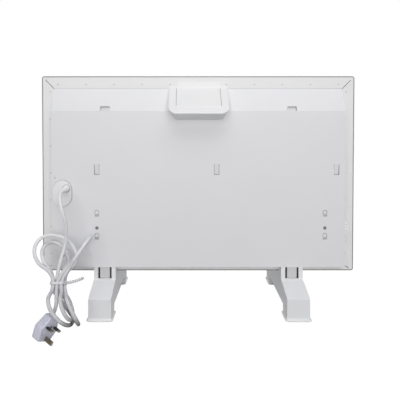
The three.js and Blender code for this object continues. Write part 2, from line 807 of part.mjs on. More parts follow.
function cablePlate() {
  const outline = stadium(cablePlateHeight, cablePlateWidth);
  const body = plate(outline, plateRear, coverBack - seat, 10).rotate([0, 90, 0]);
  const hole = rodAlongY(glandHole, plateRear - overrun, coverBack + overrun, glandX, glandZ);
  return cut(body.translate([cablePlateX, 0, cablePlateZ]), hole);
}

function cordGland() {
  const inside = coverInside + seat;
  const ringRear = plateRear - seat - glandRingLength;
  const profile = [[0, 0], [glandTip, 0]];
  const pitch = glandLength / (glandGrooves + 1);
  const radiusAt = (height) => glandTip + (glandRoot - glandTip) * height / glandLength;
  for (let groove = 0; groove < glandGrooves; groove++) {
    glandGrooveShares.forEach((share, corner) => {
      const height = (groove + share) * pitch;
      const floor = corner === 1 || corner === 2;
      profile.push([radiusAt(height) - (floor ? glandGrooveDepth : 0), height]);
    });
  }
  const heights = {
    root: glandLength, ringEnd: ringRear + glandRingLength - glandEnd,
    collar: inside - glandEnd, end: inside + glandCollarLength - glandEnd,
  };
  profile.push([glandRoot, heights.root], [glandRing, heights.root], [glandRing, heights.ringEnd]);
  profile.push([glandNeck, heights.ringEnd], [glandNeck, heights.collar]);
  profile.push([glandCollar, heights.collar], [glandCollar, heights.end], [0, heights.end]);
  return turned(profile, 16).rotate([-90, 0, 0]).translate([glandX, glandEnd, glandZ]);
}

place("cable_plate", cablePlate(), paintedSteel);
place("cord_gland", cordGland(), whitePlastic);

// Control housing, built in the plane of its sloped plate: +Y up the slope, +Z out of the plate
const housingWidth = 143.4;
const housingAngle = 45; // the plate's slope, degrees
const housingTopBack = 5; // how far the plate's top edge stands behind the flange
const housingAbove = 4.4; // how far its plate reaches above the slope
const housingBelow = 21.3; // how far its lower wall's foot lies below the slope
const housingReach = 45.4; // from the cover's back to where plate and lower wall would meet
const housingTop = coverTop + housingAbove;
const housingFoot = slopeBottom - housingBelow;
const housingNose = coverBack - housingReach;
const housingNoseZ = housingTop - (flangeBack - housingTopBack - housingNose);
const noseRadius = 3;
const trimRadius = 1; // of the other rounded edges
const housingDraft = 0.41; // how much a side draws in for each length inwards
const housingLowerCorner = 22;
const housingPast = 16; // how far its outline runs past the plate's top edge
const housingUpperCorner = 5;
const housingDeep = 70;

const doorWidth = 107;
const doorGap = 0.8; // beside the door
const doorThickness = 2.5;
const doorBarrel = 3.2; // radius of the door's hinge barrel
const doorHingeY = -68; // along the slope from the plate's top edge
const doorLip = 14; // the free lip above the plate
const doorTopY = -1;
const hingePin = 1.6; // radius
const hingePinLength = 3;
const hingeClearance = 0.3;
const doorEdge = 6; // how wide a ledge the door's sides rest on

const fasciaRear = 8;
const fasciaThickness = 2;
const fasciaY = [-61, -15];
const boardTop = 12.4;
const boardThickness = 1.6;
const boardY = [-58, -25];
const boardSide = 6; // how much narrower the board is than the fascia, each side
const boardLedge = 3;

const buttonRadius = 6;
const buttonCollar = 7.5;
const buttonCollarLength = 1.2;
const buttonProud = 1.8;
const buttonBevel = 0.4;
const buttonTravel = 1;
const buttonY = -47;
const buttonPitch = 28;
const buttonGap = 0.5;
const switchHalf = 3;
const windowWidth = 44;
const windowHeight = 13;
const windowY = -26;
const windowSink = 0.4;

const slope = new THREE.Group();
slope.position.set(0, flangeBack - housingTopBack, housingTop);
slope.rotation.x = housingAngle * degree;
heater.add(slope);

function toSlope([y, z]) {
  const apart = [y - slope.position.y, z - slope.position.z];
  const [sin, cos] = [Math.sin(housingAngle * degree), Math.cos(housingAngle * degree)];
  return [apart[0] * cos + apart[1] * sin, apart[1] * cos - apart[0] * sin];
}

function controlHousing() {
  const half = housingWidth / 2;
  const nose = toSlope([housingNose, housingNoseZ]);
  const side = [
    [0, 0], nose, toSlope([coverBack - seat, housingFoot]), toSlope([coverBack - seat, slopeBottom]),
    toSlope([flangeBack - seat, coverTop]), toSlope([flangeBack - seat, housingTop]),
  ];
  const body = bar(rounded(side, [trimRadius, noseRadius, trimRadius, 0, 0, trimRadius]), -half, half, 5);
  const outline = rounded(
    [[-half, nose[0]], [half, nose[0]], [half, housingPast], [-half, housingPast]],
    [housingLowerCorner, housingLowerCorner, housingUpperCorner, housingUpperCorner],
  );
  const prism = extruded(outline, housingDeep, 5).translate(0, 0, -housingDeep);
  const points = prism.attributes.position;
  for (let index = 0; index < points.count; index++) {
    const drawn = 1 + housingDraft * points.getZ(index) / half;
    points.setX(index, points.getX(index) * drawn);
  }
  const doorHalf = doorWidth / 2 + doorGap;
  const hingeZ = -doorBarrel;
  const recessEnd = doorHingeY - doorBarrel - doorGap;
  const doorBed = [-doorThickness - seat, overrun];
  const doorRecess = block([-doorHalf, doorHalf], [recessEnd, housingPast], doorBed);
  const barrelEnd = doorHingeY + doorBarrel + doorGap;
  const barrelBed = [-2 * doorBarrel - doorGap, overrun];
  const barrelRecess = block([-doorHalf, doorHalf], [recessEnd, barrelEnd], barrelBed);
  const fasciaHalf = doorHalf - doorEdge;
  const fasciaRecess = block([-fasciaHalf, fasciaHalf], fasciaY, [-fasciaRear - seat, overrun]);
  const boardHalf = fasciaHalf - boardSide;
  const ledge = -boardTop - boardThickness - seat;
  const boardRecess = block([-boardHalf, boardHalf], boardY, [ledge, overrun]);
  const wirePocket = block(
    [boardLedge - boardHalf, boardHalf - boardLedge], [boardY[0] + boardLedge, boardY[1] - boardLedge],
    [-housingDeep, overrun],
  );
  const pinReach = doorHalf + hingePinLength + hingeClearance;
  const pinHole = rodAlongX(hingePin + hingeClearance, -pinReach, pinReach, doorHingeY, hingeZ, 12);
  return cut(
    body.intersect(solid(prism)), doorRecess, barrelRecess, fasciaRecess, boardRecess, wirePocket, pinHole,
  );
}

function controlDoor() {
  const half = doorWidth / 2;
  const [sin, cos] = [Math.sin(housingAngle * degree), Math.cos(housingAngle * degree)];
  const lipTop = [doorTopY + doorLip * sin, doorLip * cos];
  const inward = [doorThickness * cos, -doorThickness * sin];
  const bend = doorThickness * Math.tan(housingAngle * degree / 2);
  const profile = rounded([
    [doorTopY, 0], [doorHingeY, 0], [doorHingeY, -doorThickness], [doorTopY + bend, -doorThickness],
    [lipTop[0] + inward[0], lipTop[1] + inward[1]], lipTop,
  ], [doorThickness, 0, 0, 0, trimRadius, trimRadius]);
  const leaf = bar(profile, -half, half);
  const barrel = rodAlongX(doorBarrel, -half, half, doorHingeY, -doorBarrel, 16);
  const pin = rodAlongX(hingePin, -half - hingePinLength, half + hingePinLength, doorHingeY, -doorBarrel, 12);
  return join(leaf, barrel, pin);
}

function fasciaHalfWidth() {
  return doorWidth / 2 + doorGap - doorEdge - seat;
}

const buttonNames = ["button_power", "button_heat", "button_timer"];

function buttonPlaces() {
  return buttonNames.map((_, index) => (index - (buttonNames.length - 1) / 2) * buttonPitch);
}

function controlFascia() {
  const half = fasciaHalfWidth();
  const top = fasciaThickness - fasciaRear;
  const body = block([-half, half], [fasciaY[0] + seat, fasciaY[1] - seat], [-fasciaRear, top]);
  const hole = rod(buttonRadius + buttonGap, -fasciaRear - overrun, top + overrun, 20);
  const holes = buttonPlaces().map((x) => hole.translate([x, buttonY, 0]));
  const window = block(
    [-windowWidth / 2 - seat, windowWidth / 2 + seat],
    [windowY - windowHeight / 2 - seat, windowY + windowHeight / 2 + seat],
    [top - fasciaThickness / 2, top + overrun],
  );
  return cut(body, ...holes, window);
}

function displayWindow() {
  const top = fasciaThickness - fasciaRear;
  const outline = rectangle(
    -windowWidth / 2, windowWidth / 2, windowY - windowHeight / 2, windowY + windowHeight / 2, seat,
  );
  return slab(outline, top - fasciaThickness / 2 + seat, top + windowSink, 2);
}

function controlBoard() {
  const half = doorWidth / 2 + doorGap - doorEdge - boardSide - seat;
  const low = -boardTop - boardThickness;
  const body = block([-half, half], [boardY[0] + seat, boardY[1] - seat], [low, -boardTop]);
  const switchTop = -fasciaRear - seat - buttonCollarLength - buttonTravel - seat;
  const switches = buttonPlaces().map((x) => block(
    [x - switchHalf, x + switchHalf], [buttonY - switchHalf, buttonY + switchHalf], [low, switchTop],
  ));
  return join(body, ...switches);
}

function button() {
  const collarTop = -fasciaRear - seat;
  const collarLow = collarTop - buttonCollarLength;
  const top = fasciaThickness - fasciaRear + buttonProud;
  return turned([
    [0, collarLow], [buttonCollar, collarLow], [buttonCollar, collarTop], [buttonRadius, collarTop],
    [buttonRadius, top - buttonBevel], [buttonRadius - buttonBevel, top], [0, top],
  ], 20);
}

place("control_housing", controlHousing(), whitePlastic, slope);
place("control_door", controlDoor(), whitePlastic, slope);
place("control_fascia", controlFascia(), whitePlastic, slope);
place("display_window", displayWindow(), darkWindow, slope);
place("control_board", controlBoard(), laminate, slope);
buttonPlaces().forEach((x, index) => {
  place(buttonNames[index], button(), whitePlastic, slope).position.set(x, buttonY, 0);
});

// Feet: arched shells with a fork behind the casing
const footBottom = padHeight + seat;
const legDrop = 31.3; // from the casing down to where the rear leg's slanted face starts
const forkDrop = 11.1; // and to where it ends
const legTop = panelBottom - legDrop;
const forkBottom = panelBottom - forkDrop;
const forkTop = coverBottom - seat;
const archTop = 23;
const archRear = -77;
const archFront = 77;
const archRun = 2; // how far the arch's ends lean
const frontLipRise = 7; // the lip in front of the front panel
const frontLipDepth = 6;
const toeDrop = 48; // from the casing down to the top of the foot's front end
const toeTop = panelBottom - toeDrop;
const forkSlot = 4.6;
const latchWidth = 23.7;
const latchSheet = 4;
const latchFloor = 1.2; // gap under the latch
const plinthHeight = 10.5;
const plinthCorner = 5;
// Of the plinth's height and flare, from the floor up
const plinthShares = [[0, 0.7], [0.12, 1], [0.3, 1], [0.42, 0.7], [0.62, 0.28], [1, 0]];
const screwHeadRadius = 4.5;
const screwHeadHeight = 3;
const screwEnd = 8; // how far the screw stands in the casing
const padInset = 4;
const padCorner = 6;

const saddle = panelBottom - seat;

function footProfile() {
  const front = casingFront + seat;
  return [
    { at: [-footHalfDepth, footBottom] }, { at: [archRear, footBottom], radius: footTrim },
    { at: [archRear + archRun, archTop], radius: archRadius },
    { at: [archFront - archRun, archTop], radius: archRadius },
    { at: [archFront, footBottom], radius: footTrim }, { at: [footHalfDepth, footBottom] },
    { at: [footHalfDepth, toeTop], radius: toeRadius },
    { at: [front + frontLipDepth, panelBottom - frontLipRise], radius: legRadius },
    { at: [front + frontLipDepth, panelBottom + frontLipRise], radius: trimRadius },
    { at: [front, panelBottom + frontLipRise], radius: trimRadius },
    { at: [front, saddle] }, { at: [flangeBack - seat, saddle] },
    { at: [flangeBack - seat, forkTop], radius: trimRadius },
    { at: [coverBack, forkTop], radius: trimRadius },
    { at: [coverBack, forkBottom], radius: legRadius }, { at: [-footHalfDepth, legTop], radius: legRadius },
  ];
}

function plinth(rear, front) {
  const outline = rectangle(-footWidth / 2, footWidth / 2, rear, front, plinthCorner);
  const depth = plinthHeight - footBottom;
  const levels = plinthShares.length - 1;
  const geometry = extruded(outline, depth, 3, levels);
  const points = geometry.attributes.position;
  const middle = (rear + front) / 2;
  for (let index = 0; index < points.count; index++) {
    const [heightShare, flareShare] = plinthShares[Math.round(points.getZ(index) / depth * levels)];
    const flare = footFlare * flareShare;
    const [x, y] = [points.getX(index), points.getY(index)];
    points.setX(index, x * (1 + flare / (footWidth / 2)));
    points.setY(index, middle + (y - middle) * (1 + flare / ((front - rear) / 2)));
    points.setZ(index, footBottom + depth * heightShare);
  }
  return solid(geometry);
}

function foot() {
  const half = footWidth / 2;
  const corners = footProfile();
  const profile = corners.map((corner) => corner.at);
  const shell = bar(rounded(profile, corners.map((corner) => corner.radius ?? 0)), -half, half, 3);
  const below = -panelBottom;
  const inner = inset(profile, footWall);
  const hollow = polygon([
    [inner[0][0], below], [inner[1][0], below], inner[1], inner[2], inner[3], inner[4],
    [inner[4][0], below], [inner[5][0], below], inner[6], inner[7],
    [inner[7][0], inner[10][1]], inner[11], inner[12], inner[13], inner[14], inner[15],
  ]);
  const inside = bar(hollow, footWall - half, half - footWall);
  const latchHalf = latchWidth / 2 + forkSlot;
  const forkZ = [forkBottom + latchFloor, forkTop + overrun];
  const forkRecess = block([-latchHalf, latchHalf], [coverBack - overrun, flangeBack + overrun], forkZ);
  const forkFloor = block(
    [footWall - half, half - footWall], [coverBack + footWall / 2, flangeBack - seat - footWall / 2],
    [forkBottom - footWall, forkBottom + latchFloor],
  );
  const wallY = [coverBack + overrun, flangeBack - seat - overrun];
  const wallZ = [forkBottom, forkTop - overrun];
  const forkWalls = join(
    block([-latchHalf - footWall, -latchHalf], wallY, wallZ),
    block([latchHalf, latchHalf + footWall], wallY, wallZ),
  );
  const rear = plinth(-footHalfDepth, archRear + archRun / 2);
  const front = plinth(archFront - archRun / 2, footHalfDepth);
  const holes = [-1, 1].map((end) => rod(footScrewHole, saddle - 2 * footWall, saddle + overrun, 12)
    .translate([end * footScrewSpread / 2, footScrewY, 0]));
  const body = join(cut(join(shell, rear, front), inside), forkFloor, forkWalls);
  return cut(body, forkRecess, ...holes);
}

function footLatch() {
  const rear = coverBack + seat;
  const front = flangeBack - seat;
  const low = forkBottom + latchFloor + latchFloor;
  const web = rear + latchSheet;
  const profile = polygon([
    [rear, low], [front, low], [front, low + latchSheet], [web, low + latchSheet],
    [web, forkTop - latchSheet], [front, forkTop - latchSheet], [front, forkTop], [rear, forkTop],
  ]);
  return bar(profile, -latchWidth / 2, latchWidth / 2);
}

function footScrew() {
  const ceiling = saddle - footWall - seat;
  const head = rod(screwHeadRadius, ceiling - screwHeadHeight, ceiling, 14);
  const shank = rod(footScrewRadius, ceiling - screwHeadHeight, panelBottom + screwEnd, 10);
  return join(head, shank);
}

function footPad(rear, front) {
  const half = footWidth / 2 + footFlare - padInset;
  const outline = rectangle(-half, half, rear + padInset, front - padInset, padCorner);
  return slab(outline, 0, padHeight, 3);
}

["left", "right"].forEach((side, index) => {
  const x = (index ? 1 : -1) * footSpacing / 2;
  place(`foot_${side}`, foot(), footPlastic).position.x = x;
  place(`foot_latch_${side}`, footLatch(), footPlastic).position.x = x;
  ["inner", "outer"].forEach((where, end) => {
    const away = (end ? 1 : -1) * (index ? 1 : -1) * footScrewSpread / 2;
    place(`foot_screw_${side}_${where}`, footScrew(), zinc).position.set(x + away, footScrewY, 0);
  });
  const rearPad = footPad(-footHalfDepth - footFlare, archRear + archRun / 2 + footFlare);
  place(`foot_pad_${side}_rear`, rearPad, rubber).position.x = x;
  const frontPad = footPad(archFront - archRun / 2 - footFlare, footHalfDepth + footFlare);
  place(`foot_pad_${side}_front`, frontPad, rubber).position.x = x;
});

// The lead: a run down from the gland, a hank of six lobes tied at its waist, and a tail to the plug
const leadDiameter = 8;
const leadSides = 10;
const hankSides = 6;
const lobeSteps = 24;
const strandPitch = 8.8; // between neighbours in a row at the waist
const rowPitch = 9; // between the two rows
const waistStraight = 10; // of the lead, at each end of the hank
const waistLean = 24; // degrees, with its top towards the panel
const waistRight = 11.2; // from the gland
const waistBehind = 102; // the cover's back
const waistHeight = 109.6; // above the floor
const waistPlace = [glandX + waistRight, coverBack - waistBehind, waistHeight];

// The seven strands at the waist, as the lead takes them: pitches to the right, then the row
const strandShares = [[-0.5, 1], [-1, -1], [1.5, 1], [-1.5, 1], [0.5, 1], [1, -1], [0, -1]];

// The lobes, below and above the waist by turns: how far they reach, the radii of their crown and neck,
// how gently they lean, their turn about the waist in degrees, their lean to the right and inwards, and
// their way round
const lobes = [
  { reach: 82, crown: 31.5, neck: 25, ease: 55, turn: 72, rightShare: 0.93, inShare: -0.02, way: -1 },
  { reach: 103, crown: 38.5, neck: 36, ease: 10, turn: 26, rightShare: -0.37, inShare: 0.25, way: 1 },
  { reach: 81, crown: 30.5, neck: 28, ease: 25.5, turn: 100, rightShare: 0.82, inShare: 0.2, way: 1 },
  { reach: 90, crown: 30, neck: 45, ease: 38.5, turn: 55, rightShare: -0.59, inShare: 0.79, way: 1 },
  { reach: 71, crown: 26, neck: 27, ease: 10, turn: 82, rightShare: 0.5, inShare: -0.08, way: -1 },
  { reach: 100, crown: 32.5, neck: 41.5, ease: 11, turn: 102, rightShare: 0.58, inShare: 0.34, way: 1 },
];

const waist = new THREE.Group();
waist.position.set(...waistPlace);
waist.rotation.x = -waistLean * degree;
heater.add(waist);
waist.updateMatrixWorld();

const strands = strandShares.map(([across, row]) => [across * strandPitch, row * rowPitch / 2]);

// From one strand round the crown arc, between two neck arcs, to the next strand
function lobePoints(lobe, from, to, side) {
  const { reach, crown, neck, ease, rightShare, inShare, way } = lobe;
  const rise = Math.sqrt(crown ** 2 + 2 * crown * neck);
  const straight = Math.max(0, reach - crown - rise);
  const sweep = Math.atan2(rise, neck);
  const half = straight + neck * sweep + crown * (quarterTurn + sweep);
  return Array.from({ length: lobeSteps + 1 }, (_, step) => {
    const share = step / lobeSteps;
    const travelled = 2 * half * Math.min(share, 1 - share);
    let [out, up] = [0, travelled];
    if (travelled > straight + neck * sweep) {
      const fromTop = (half - travelled) / crown;
      [out, up] = [crown * Math.sin(fromTop), straight + rise + crown * Math.cos(fromTop)];
    } else if (travelled > straight) {
      const bent = (travelled - straight) / neck;
      [out, up] = [neck * (1 - Math.cos(bent)), straight + neck * Math.sin(bent)];
    }
    const across = step < lobeSteps / 2 ? -way * out : way * out;
    const blend = THREE.MathUtils.smoothstep(share, 0, 1);
    const away = Math.hypot(up, ease) - ease;
    return new THREE.Vector3(
      THREE.MathUtils.lerp(from[0], to[0], blend) + across * Math.cos(lobe.turn * degree) + rightShare * away,
      THREE.MathUtils.lerp(from[1], to[1], blend) + across * Math.sin(lobe.turn * degree) + inShare * away,
      side * up,
    );
  });
}

function hankPoints() {
  const points = [new THREE.Vector3(...strands[0], waistStraight)];
  lobes.forEach((lobe, index) => {
    const side = index % 2 ? 1 : -1;
    const lobeLine = lobePoints(lobe, strands[index], strands[index + 1], side);
    points.push(...(index ? lobeLine.slice(1) : lobeLine));
  });
  points.push(new THREE.Vector3(...strands.at(-1), -waistStraight));
  return points;
}

// The least gap between stretches that lie further apart along the lead than a fold
const foldLength = 36;

function leastGap(points, diameter) {
  const travelled = [0];
  points.slice(1).forEach((point, index) => {
    travelled.push(travelled[index] + point.distanceTo(points[index]));
  });
  let least = Infinity;
  points.forEach((point, index) => {
    for (let other = index + 1; other < points.length; other++) {
      if (travelled[other] - travelled[index] < foldLength) continue;
      least = Math.min(least, point.distanceTo(points[other]) - diameter);
    }
  });
  return least;
}

const hankLine = hankPoints();
console.log(`lead_hank: least gap to itself ${leastGap(hankLine, leadDiameter).toFixed(2)} mm`);
const hankCurve = new THREE.CatmullRomCurve3(hankLine, false, "centripetal");
place("lead_hank", tube(hankCurve, leadDiameter, hankSides, hankLine.length - 1), leadSheath, waist);

// The run's route between the gland and the waist: how far right of the gland, how far behind the cover's
// back, and the share of the way up from the waist to the gland
const runRoute = [
  { right: 0, behind: 41, upShare: 1 }, { right: 1.5, behind: 54.5, upShare: 0.98 },
  { right: 6, behind: 69.5, upShare: 0.916 }, { right: 13, behind: 76.5, upShare: 0.807 },
  { right: 18.5, behind: 73, upShare: 0.687 }, { right: 19, behind: 67.5, upShare: 0.572 },
  { right: 17, behind: 62.5, upShare: 0.455 }, { right: 13, behind: 62, upShare: 0.338 },
  { right: 8, behind: 69, upShare: 0.229 },
];
const runSteps = 18;
const runStraight = 14; // of the run, above the hank

function atWaist([x, y], z) {
  return waist.localToWorld(new THREE.Vector3(x, y, z));
}

const runLine = [
  new THREE.Vector3(glandX, glandEnd - seat, glandZ),
  ...runRoute.map(({ right, behind, upShare }) => new THREE.Vector3(
    glandX + right, coverBack - behind, THREE.MathUtils.lerp(waistHeight, glandZ, upShare),
  )),
  atWaist(strands[0], waistStraight + seat + runStraight),
  atWaist(strands[0], waistStraight + seat),
];
const runCurve = new THREE.CatmullRomCurve3(runLine, false, "centripetal");
place("lead_run", tube(runCurve, leadDiameter, leadSides, runSteps), leadSheath);

// Twist tie: a flat band round the waist and its twisted ends
const tieGap = 0.7;
const tieSheet = 1.4;
const tieHeight = 4.6;
const tieTail = 40;
const tieTailRise = 16; // degrees
const tieRadius = 1.5; // of the twisted ends, on the average
const tieWaistShare = 0.45; // how much the twisted section draws in between its two wires
const tieTurns = 3.5;
const tieSides = 8;
const tieSteps = 28;

function twistTie() {
  const row = (side) => strands.filter(([, y]) => Math.sign(y) === side).map(([x]) => x);
  const hull = [
    [Math.min(...row(-1)), -rowPitch / 2], [Math.max(...row(-1)), -rowPitch / 2],
    [Math.max(...row(1)), rowPitch / 2], [Math.min(...row(1)), rowPitch / 2],
  ];
  const loop = (reach, half) => slab(rounded(inset(hull, -reach), hull.map(() => reach)), -half, half, 5);
  const inner = leadDiameter / 2 + tieGap;
  const band = cut(loop(inner + tieSheet, tieHeight / 2), loop(inner, tieHeight / 2 + overrun));
  const section = Array.from({ length: tieSides }, (_, side) => {
    const angle = (side / tieSides) * 2 * halfTurn;
    const radius = tieRadius * (1 + tieWaistShare * Math.cos(2 * angle));
    return [radius * Math.cos(angle), radius * Math.sin(angle)];
  });
  const ends = extruded(polygon(section), tieTail, 1, tieSteps);
  const points = ends.attributes.position;
  const turn = new THREE.Matrix4();
  const point = new THREE.Vector3();
  for (let index = 0; index < points.count; index++) {
    point.fromBufferAttribute(points, index);
    point.applyMatrix4(turn.makeRotationZ(tieTurns * 2 * halfTurn * point.z / tieTail));
    points.setXYZ(index, ...point);
  }
  const right = hull[2][0] + inner + tieSheet;
  const twisted = solid(ends).rotate([0, 90 - tieTailRise, 0]).translate([right, rowPitch / 2, 0]);
  return join(band, twisted);
}

place("twist_tie", twistTie(), leadSheath, waist);

// Plug with three flat pins. Its own frame: +X across, +Y to the lead, +Z out along the pins
const plugWidth = 50;
const plugHeight = 50;
const plugDepth = 22;
const plugCoverDepth = 5.4;
const plugBevel = 2;
const plugTopShare = 0.42; // of the width, at the end that the lead enters
const plugWaistShare = 0.5; // of the height, where the plug is widest
const plugFootShare = 0.68; // of the width, at the other end
const plugCorner = 5;
const plugBoss = 5.5; // radius of the boss that the lead enters
const plugBossLength = 3;
const pinRow = 5; // the live and neutral pins' height above the plug's middle
const pinPitch = 22.2;
const pinBase = 7; // of a pin, inside the body
const flatPin = { width: 6.3, height: 4, length: 17.7 };
const earthPin = { width: 4, height: 8, length: 22.7 };
const pinTaper = 1;
const fuseWidth = 24;
const fuseHeight = 8;
const fuseDepth = 5;
const fuseProud = 0.4;
const fuseY = -6;

const exitRight = 12.6; // from the gland to where the lead enters the plug
const exitBehind = 137.4; // the cover's back
const exitHeight = 60.4; // above the floor
const plugExit = new THREE.Vector3(glandX + exitRight, coverBack - exitBehind, exitHeight);
const plugUp = new THREE.Vector3(0.42, 0.28, 0.86).normalize();
const plugPins = new THREE.Vector3(0.8, -0.52, -0.22).normalize();
const plugSide = new THREE.Vector3().crossVectors(plugUp, plugPins).normalize();
const tailReach = 20; // how far each end of the tail keeps its direction
const tailSteps = 5;

function plugOutline(shrink) {
  const half = plugWidth / 2 - shrink;
  const [low, high] = [shrink - plugHeight / 2, plugHeight / 2 - shrink];
  const waistY = high - plugHeight * plugWaistShare;
  const corners = [
    [-half * plugFootShare, low], [half * plugFootShare, low], [half, waistY],
    [half * plugTopShare, high], [-half * plugTopShare, high], [-half, waistY],
  ];
  return rounded(corners, corners.map(() => plugCorner));
}

const fuse = { x: 0, y: fuseY, width: fuseWidth, height: fuseHeight };
const pins = {
  plug_pin_live: { ...flatPin, x: pinPitch / 2, y: pinRow },
  plug_pin_neutral: { ...flatPin, x: -pinPitch / 2, y: pinRow },
  plug_pin_earth: { ...earthPin, x: 0, y: pinRow - pinPitch },
};
const plugFace = plugDepth / 2;
const plugSplit = plugCoverDepth - plugFace;

function pinBlock({ x, y, width, height }, low, high, gap = 0) {
  const [across, along] = [width / 2 + gap, height / 2 + gap];
  return block([x - across, x + across], [y - along, y + along], [low, high]);
}

function plugBody() {
  const shell = slab(plugOutline(0), plugSplit, plugFace, 3);
  const boss = rod(plugBoss, -plugHeight / 2 - plugBossLength, 0, 14).rotate([90, 0, 0]);
  const hole = (piece, depth) => pinBlock(piece, plugFace - depth - seat, plugFace + overrun, seat);
  const holes = Object.values(pins).map((pin) => hole(pin, pinBase));
  return cut(join(shell, boss), ...holes, hole(fuse, fuseDepth));
}

function plugCover() {
  const bevelled = new THREE.ExtrudeGeometry(plugOutline(plugBevel), {
    depth: plugCoverDepth, bevelSize: plugBevel, bevelThickness: plugBevel,
    bevelSegments: 2, curveSegments: 3,
  });
  const whole = solid(bevelled.translate(0, 0, plugBevel - plugFace));
  const keep = [plugSplit - seat, plugDepth];
  return cut(whole, block([-plugWidth, plugWidth], [-plugHeight, plugHeight], keep));
}

function plugPin(pin) {
  const shaft = pinBlock(pin, plugFace - pinBase, plugFace + pin.length - pinTaper);
  const tip = pinBlock(pin, plugFace + pin.length - pinTaper, plugFace + pin.length, -pinTaper);
  return shaft.add(tip).hull();
}

const plug = new THREE.Group();
plug.quaternion.setFromRotationMatrix(new THREE.Matrix4().makeBasis(plugSide, plugUp, plugPins));
plug.position.copy(plugExit).addScaledVector(plugUp, -plugHeight / 2 - plugBossLength - seat);
heater.add(plug);

place("plug_body", plugBody(), plugPlastic, plug);
place("plug_cover", plugCover(), plugPlastic, plug);
for (const [name, pin] of Object.entries(pins)) place(name, plugPin(pin), brass, plug);
place("plug_fuse_carrier", pinBlock(fuse, plugFace - fuseDepth, plugFace + fuseProud), plugPlastic, plug);

const tailStart = atWaist(strands.at(-1), -waistStraight - seat);
const tailDown = atWaist(strands.at(-1), -waistStraight - tailReach).sub(tailStart).normalize();
const tailCurve = new THREE.CubicBezierCurve3(
  tailStart,
  tailStart.clone().addScaledVector(tailDown, tailReach),
  plugExit.clone().addScaledVector(plugUp, tailReach),
  plugExit,
);
place("lead_tail", tube(tailCurve, leadDiameter, leadSides, tailSteps), leadSheath);

export default heater;
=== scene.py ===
# An electric panel heater, seen from its back. +X is right, +Y is towards its front, +Z is up.
# The frame is in metres. Small sizes are written in millimetres and turned to metres where a mesh is made.
import json
import math

import bmesh
import bpy
from mathutils import Matrix, Vector


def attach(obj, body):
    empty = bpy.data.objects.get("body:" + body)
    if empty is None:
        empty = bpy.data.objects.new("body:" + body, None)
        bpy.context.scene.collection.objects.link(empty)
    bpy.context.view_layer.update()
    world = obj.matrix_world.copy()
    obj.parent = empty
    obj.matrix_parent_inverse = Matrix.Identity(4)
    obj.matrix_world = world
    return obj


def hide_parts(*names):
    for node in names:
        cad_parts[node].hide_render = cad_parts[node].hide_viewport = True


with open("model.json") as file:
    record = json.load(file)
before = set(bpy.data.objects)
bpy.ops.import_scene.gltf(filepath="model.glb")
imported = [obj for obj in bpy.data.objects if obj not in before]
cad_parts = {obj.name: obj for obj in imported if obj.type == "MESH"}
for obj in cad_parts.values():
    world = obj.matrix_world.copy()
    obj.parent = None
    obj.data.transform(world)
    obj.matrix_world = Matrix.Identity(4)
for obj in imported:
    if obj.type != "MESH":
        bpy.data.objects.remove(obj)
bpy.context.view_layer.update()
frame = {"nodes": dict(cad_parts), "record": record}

MM = 0.001
TURN = 2 * math.pi


def metres(*sizes):
    return [size * MM for size in sizes]


def new_object(name, data):
    made = bpy.data.objects.new(name, data)
    bpy.context.scene.collection.objects.link(made)
    return made


# Camera

CAMERA_PLACE = (-0.028, -1.006, 0.4888)
CAMERA_PITCH = 1.08  # degrees below the horizon
CAMERA_LENS = 35.1
CAMERA_SENSOR = 36
CAMERA_SHIFT = (0.0325, -0.2066)


def make_camera():
    data = bpy.data.cameras.new("camera")
    data.lens = CAMERA_LENS
    data.sensor_width = CAMERA_SENSOR
    data.shift_x, data.shift_y = CAMERA_SHIFT
    camera = new_object("camera", data)
    camera.location = CAMERA_PLACE
    camera.rotation_euler = (math.radians(90 - CAMERA_PITCH), 0, 0)
    bpy.context.scene.camera = camera


make_camera()


# Nodes for the finishes and for what repeats

def feed(tree, socket, value):
    """Links an input to an output or to a node's first output, or sets its plain value."""
    if isinstance(value, bpy.types.Node):
        value = value.outputs[0]
    if isinstance(value, bpy.types.NodeSocket):
        tree.links.new(value, socket)
    else:
        socket.default_value = value


def node(tree, kind, **inputs):
    """A node whose named inputs are fed, with _ for each space in a name."""
    made = tree.nodes.new(kind)
    for name, value in inputs.items():
        feed(tree, made.inputs[name.replace("_", " ")], value)
    return made


def maths(tree, operation, *values, kind="ShaderNodeMath", output="Value"):
    """What a math node makes of its values, in their order."""
    made = tree.nodes.new(kind)
    made.operation = operation
    for socket, value in zip(made.inputs, values):
        feed(tree, socket, value)
    return made.outputs[output]


def vector_maths(tree, operation, *values, output="Vector"):
    return maths(tree, operation, *values, kind="ShaderNodeVectorMath", output=output)


def mixed(tree, factor, first, second):
    """The first colour where the factor is 0 and the second where it is 1."""
    mix = tree.nodes.new("ShaderNodeMix")
    mix.data_type = "RGBA"
    for name, value in (("Factor", factor), ("A", first), ("B", second)):
        feed(tree, mix.inputs[name], value)
    return mix.outputs["Result"]


def own_place(tree):
    """Where a point lies on its own piece."""
    return node(tree, "ShaderNodeTexCoord").outputs["Object"]


def pattern(tree, size, detail=2.0, stretch=(1, 1, 1)):
    """Noise whose features are size millimetres across, drawn out along an axis by stretch."""
    scale = [1 / (size * MM * share) for share in stretch]
    place = node(tree, "ShaderNodeMapping", Vector=own_place(tree), Scale=scale)
    return node(tree, "ShaderNodeTexNoise", Vector=place, Scale=1.0, Detail=detail)


def between(tree, factor, low, high, start=0.3, end=0.7):
    """Runs from low to high while the factor runs from start to end."""
    spans = {"From_Min": start, "From_Max": end, "To_Min": low, "To_Max": high}
    return node(tree, "ShaderNodeMapRange", Value=factor, **spans)


def tinted(tree, factor, colour, share):
    """The colour, darker and lighter by a share."""
    darker = [*(part * (1 - share) for part in colour), 1]
    lighter = [*(min(1, part * (1 + share)) for part in colour), 1]
    return mixed(tree, factor, darker, lighter)


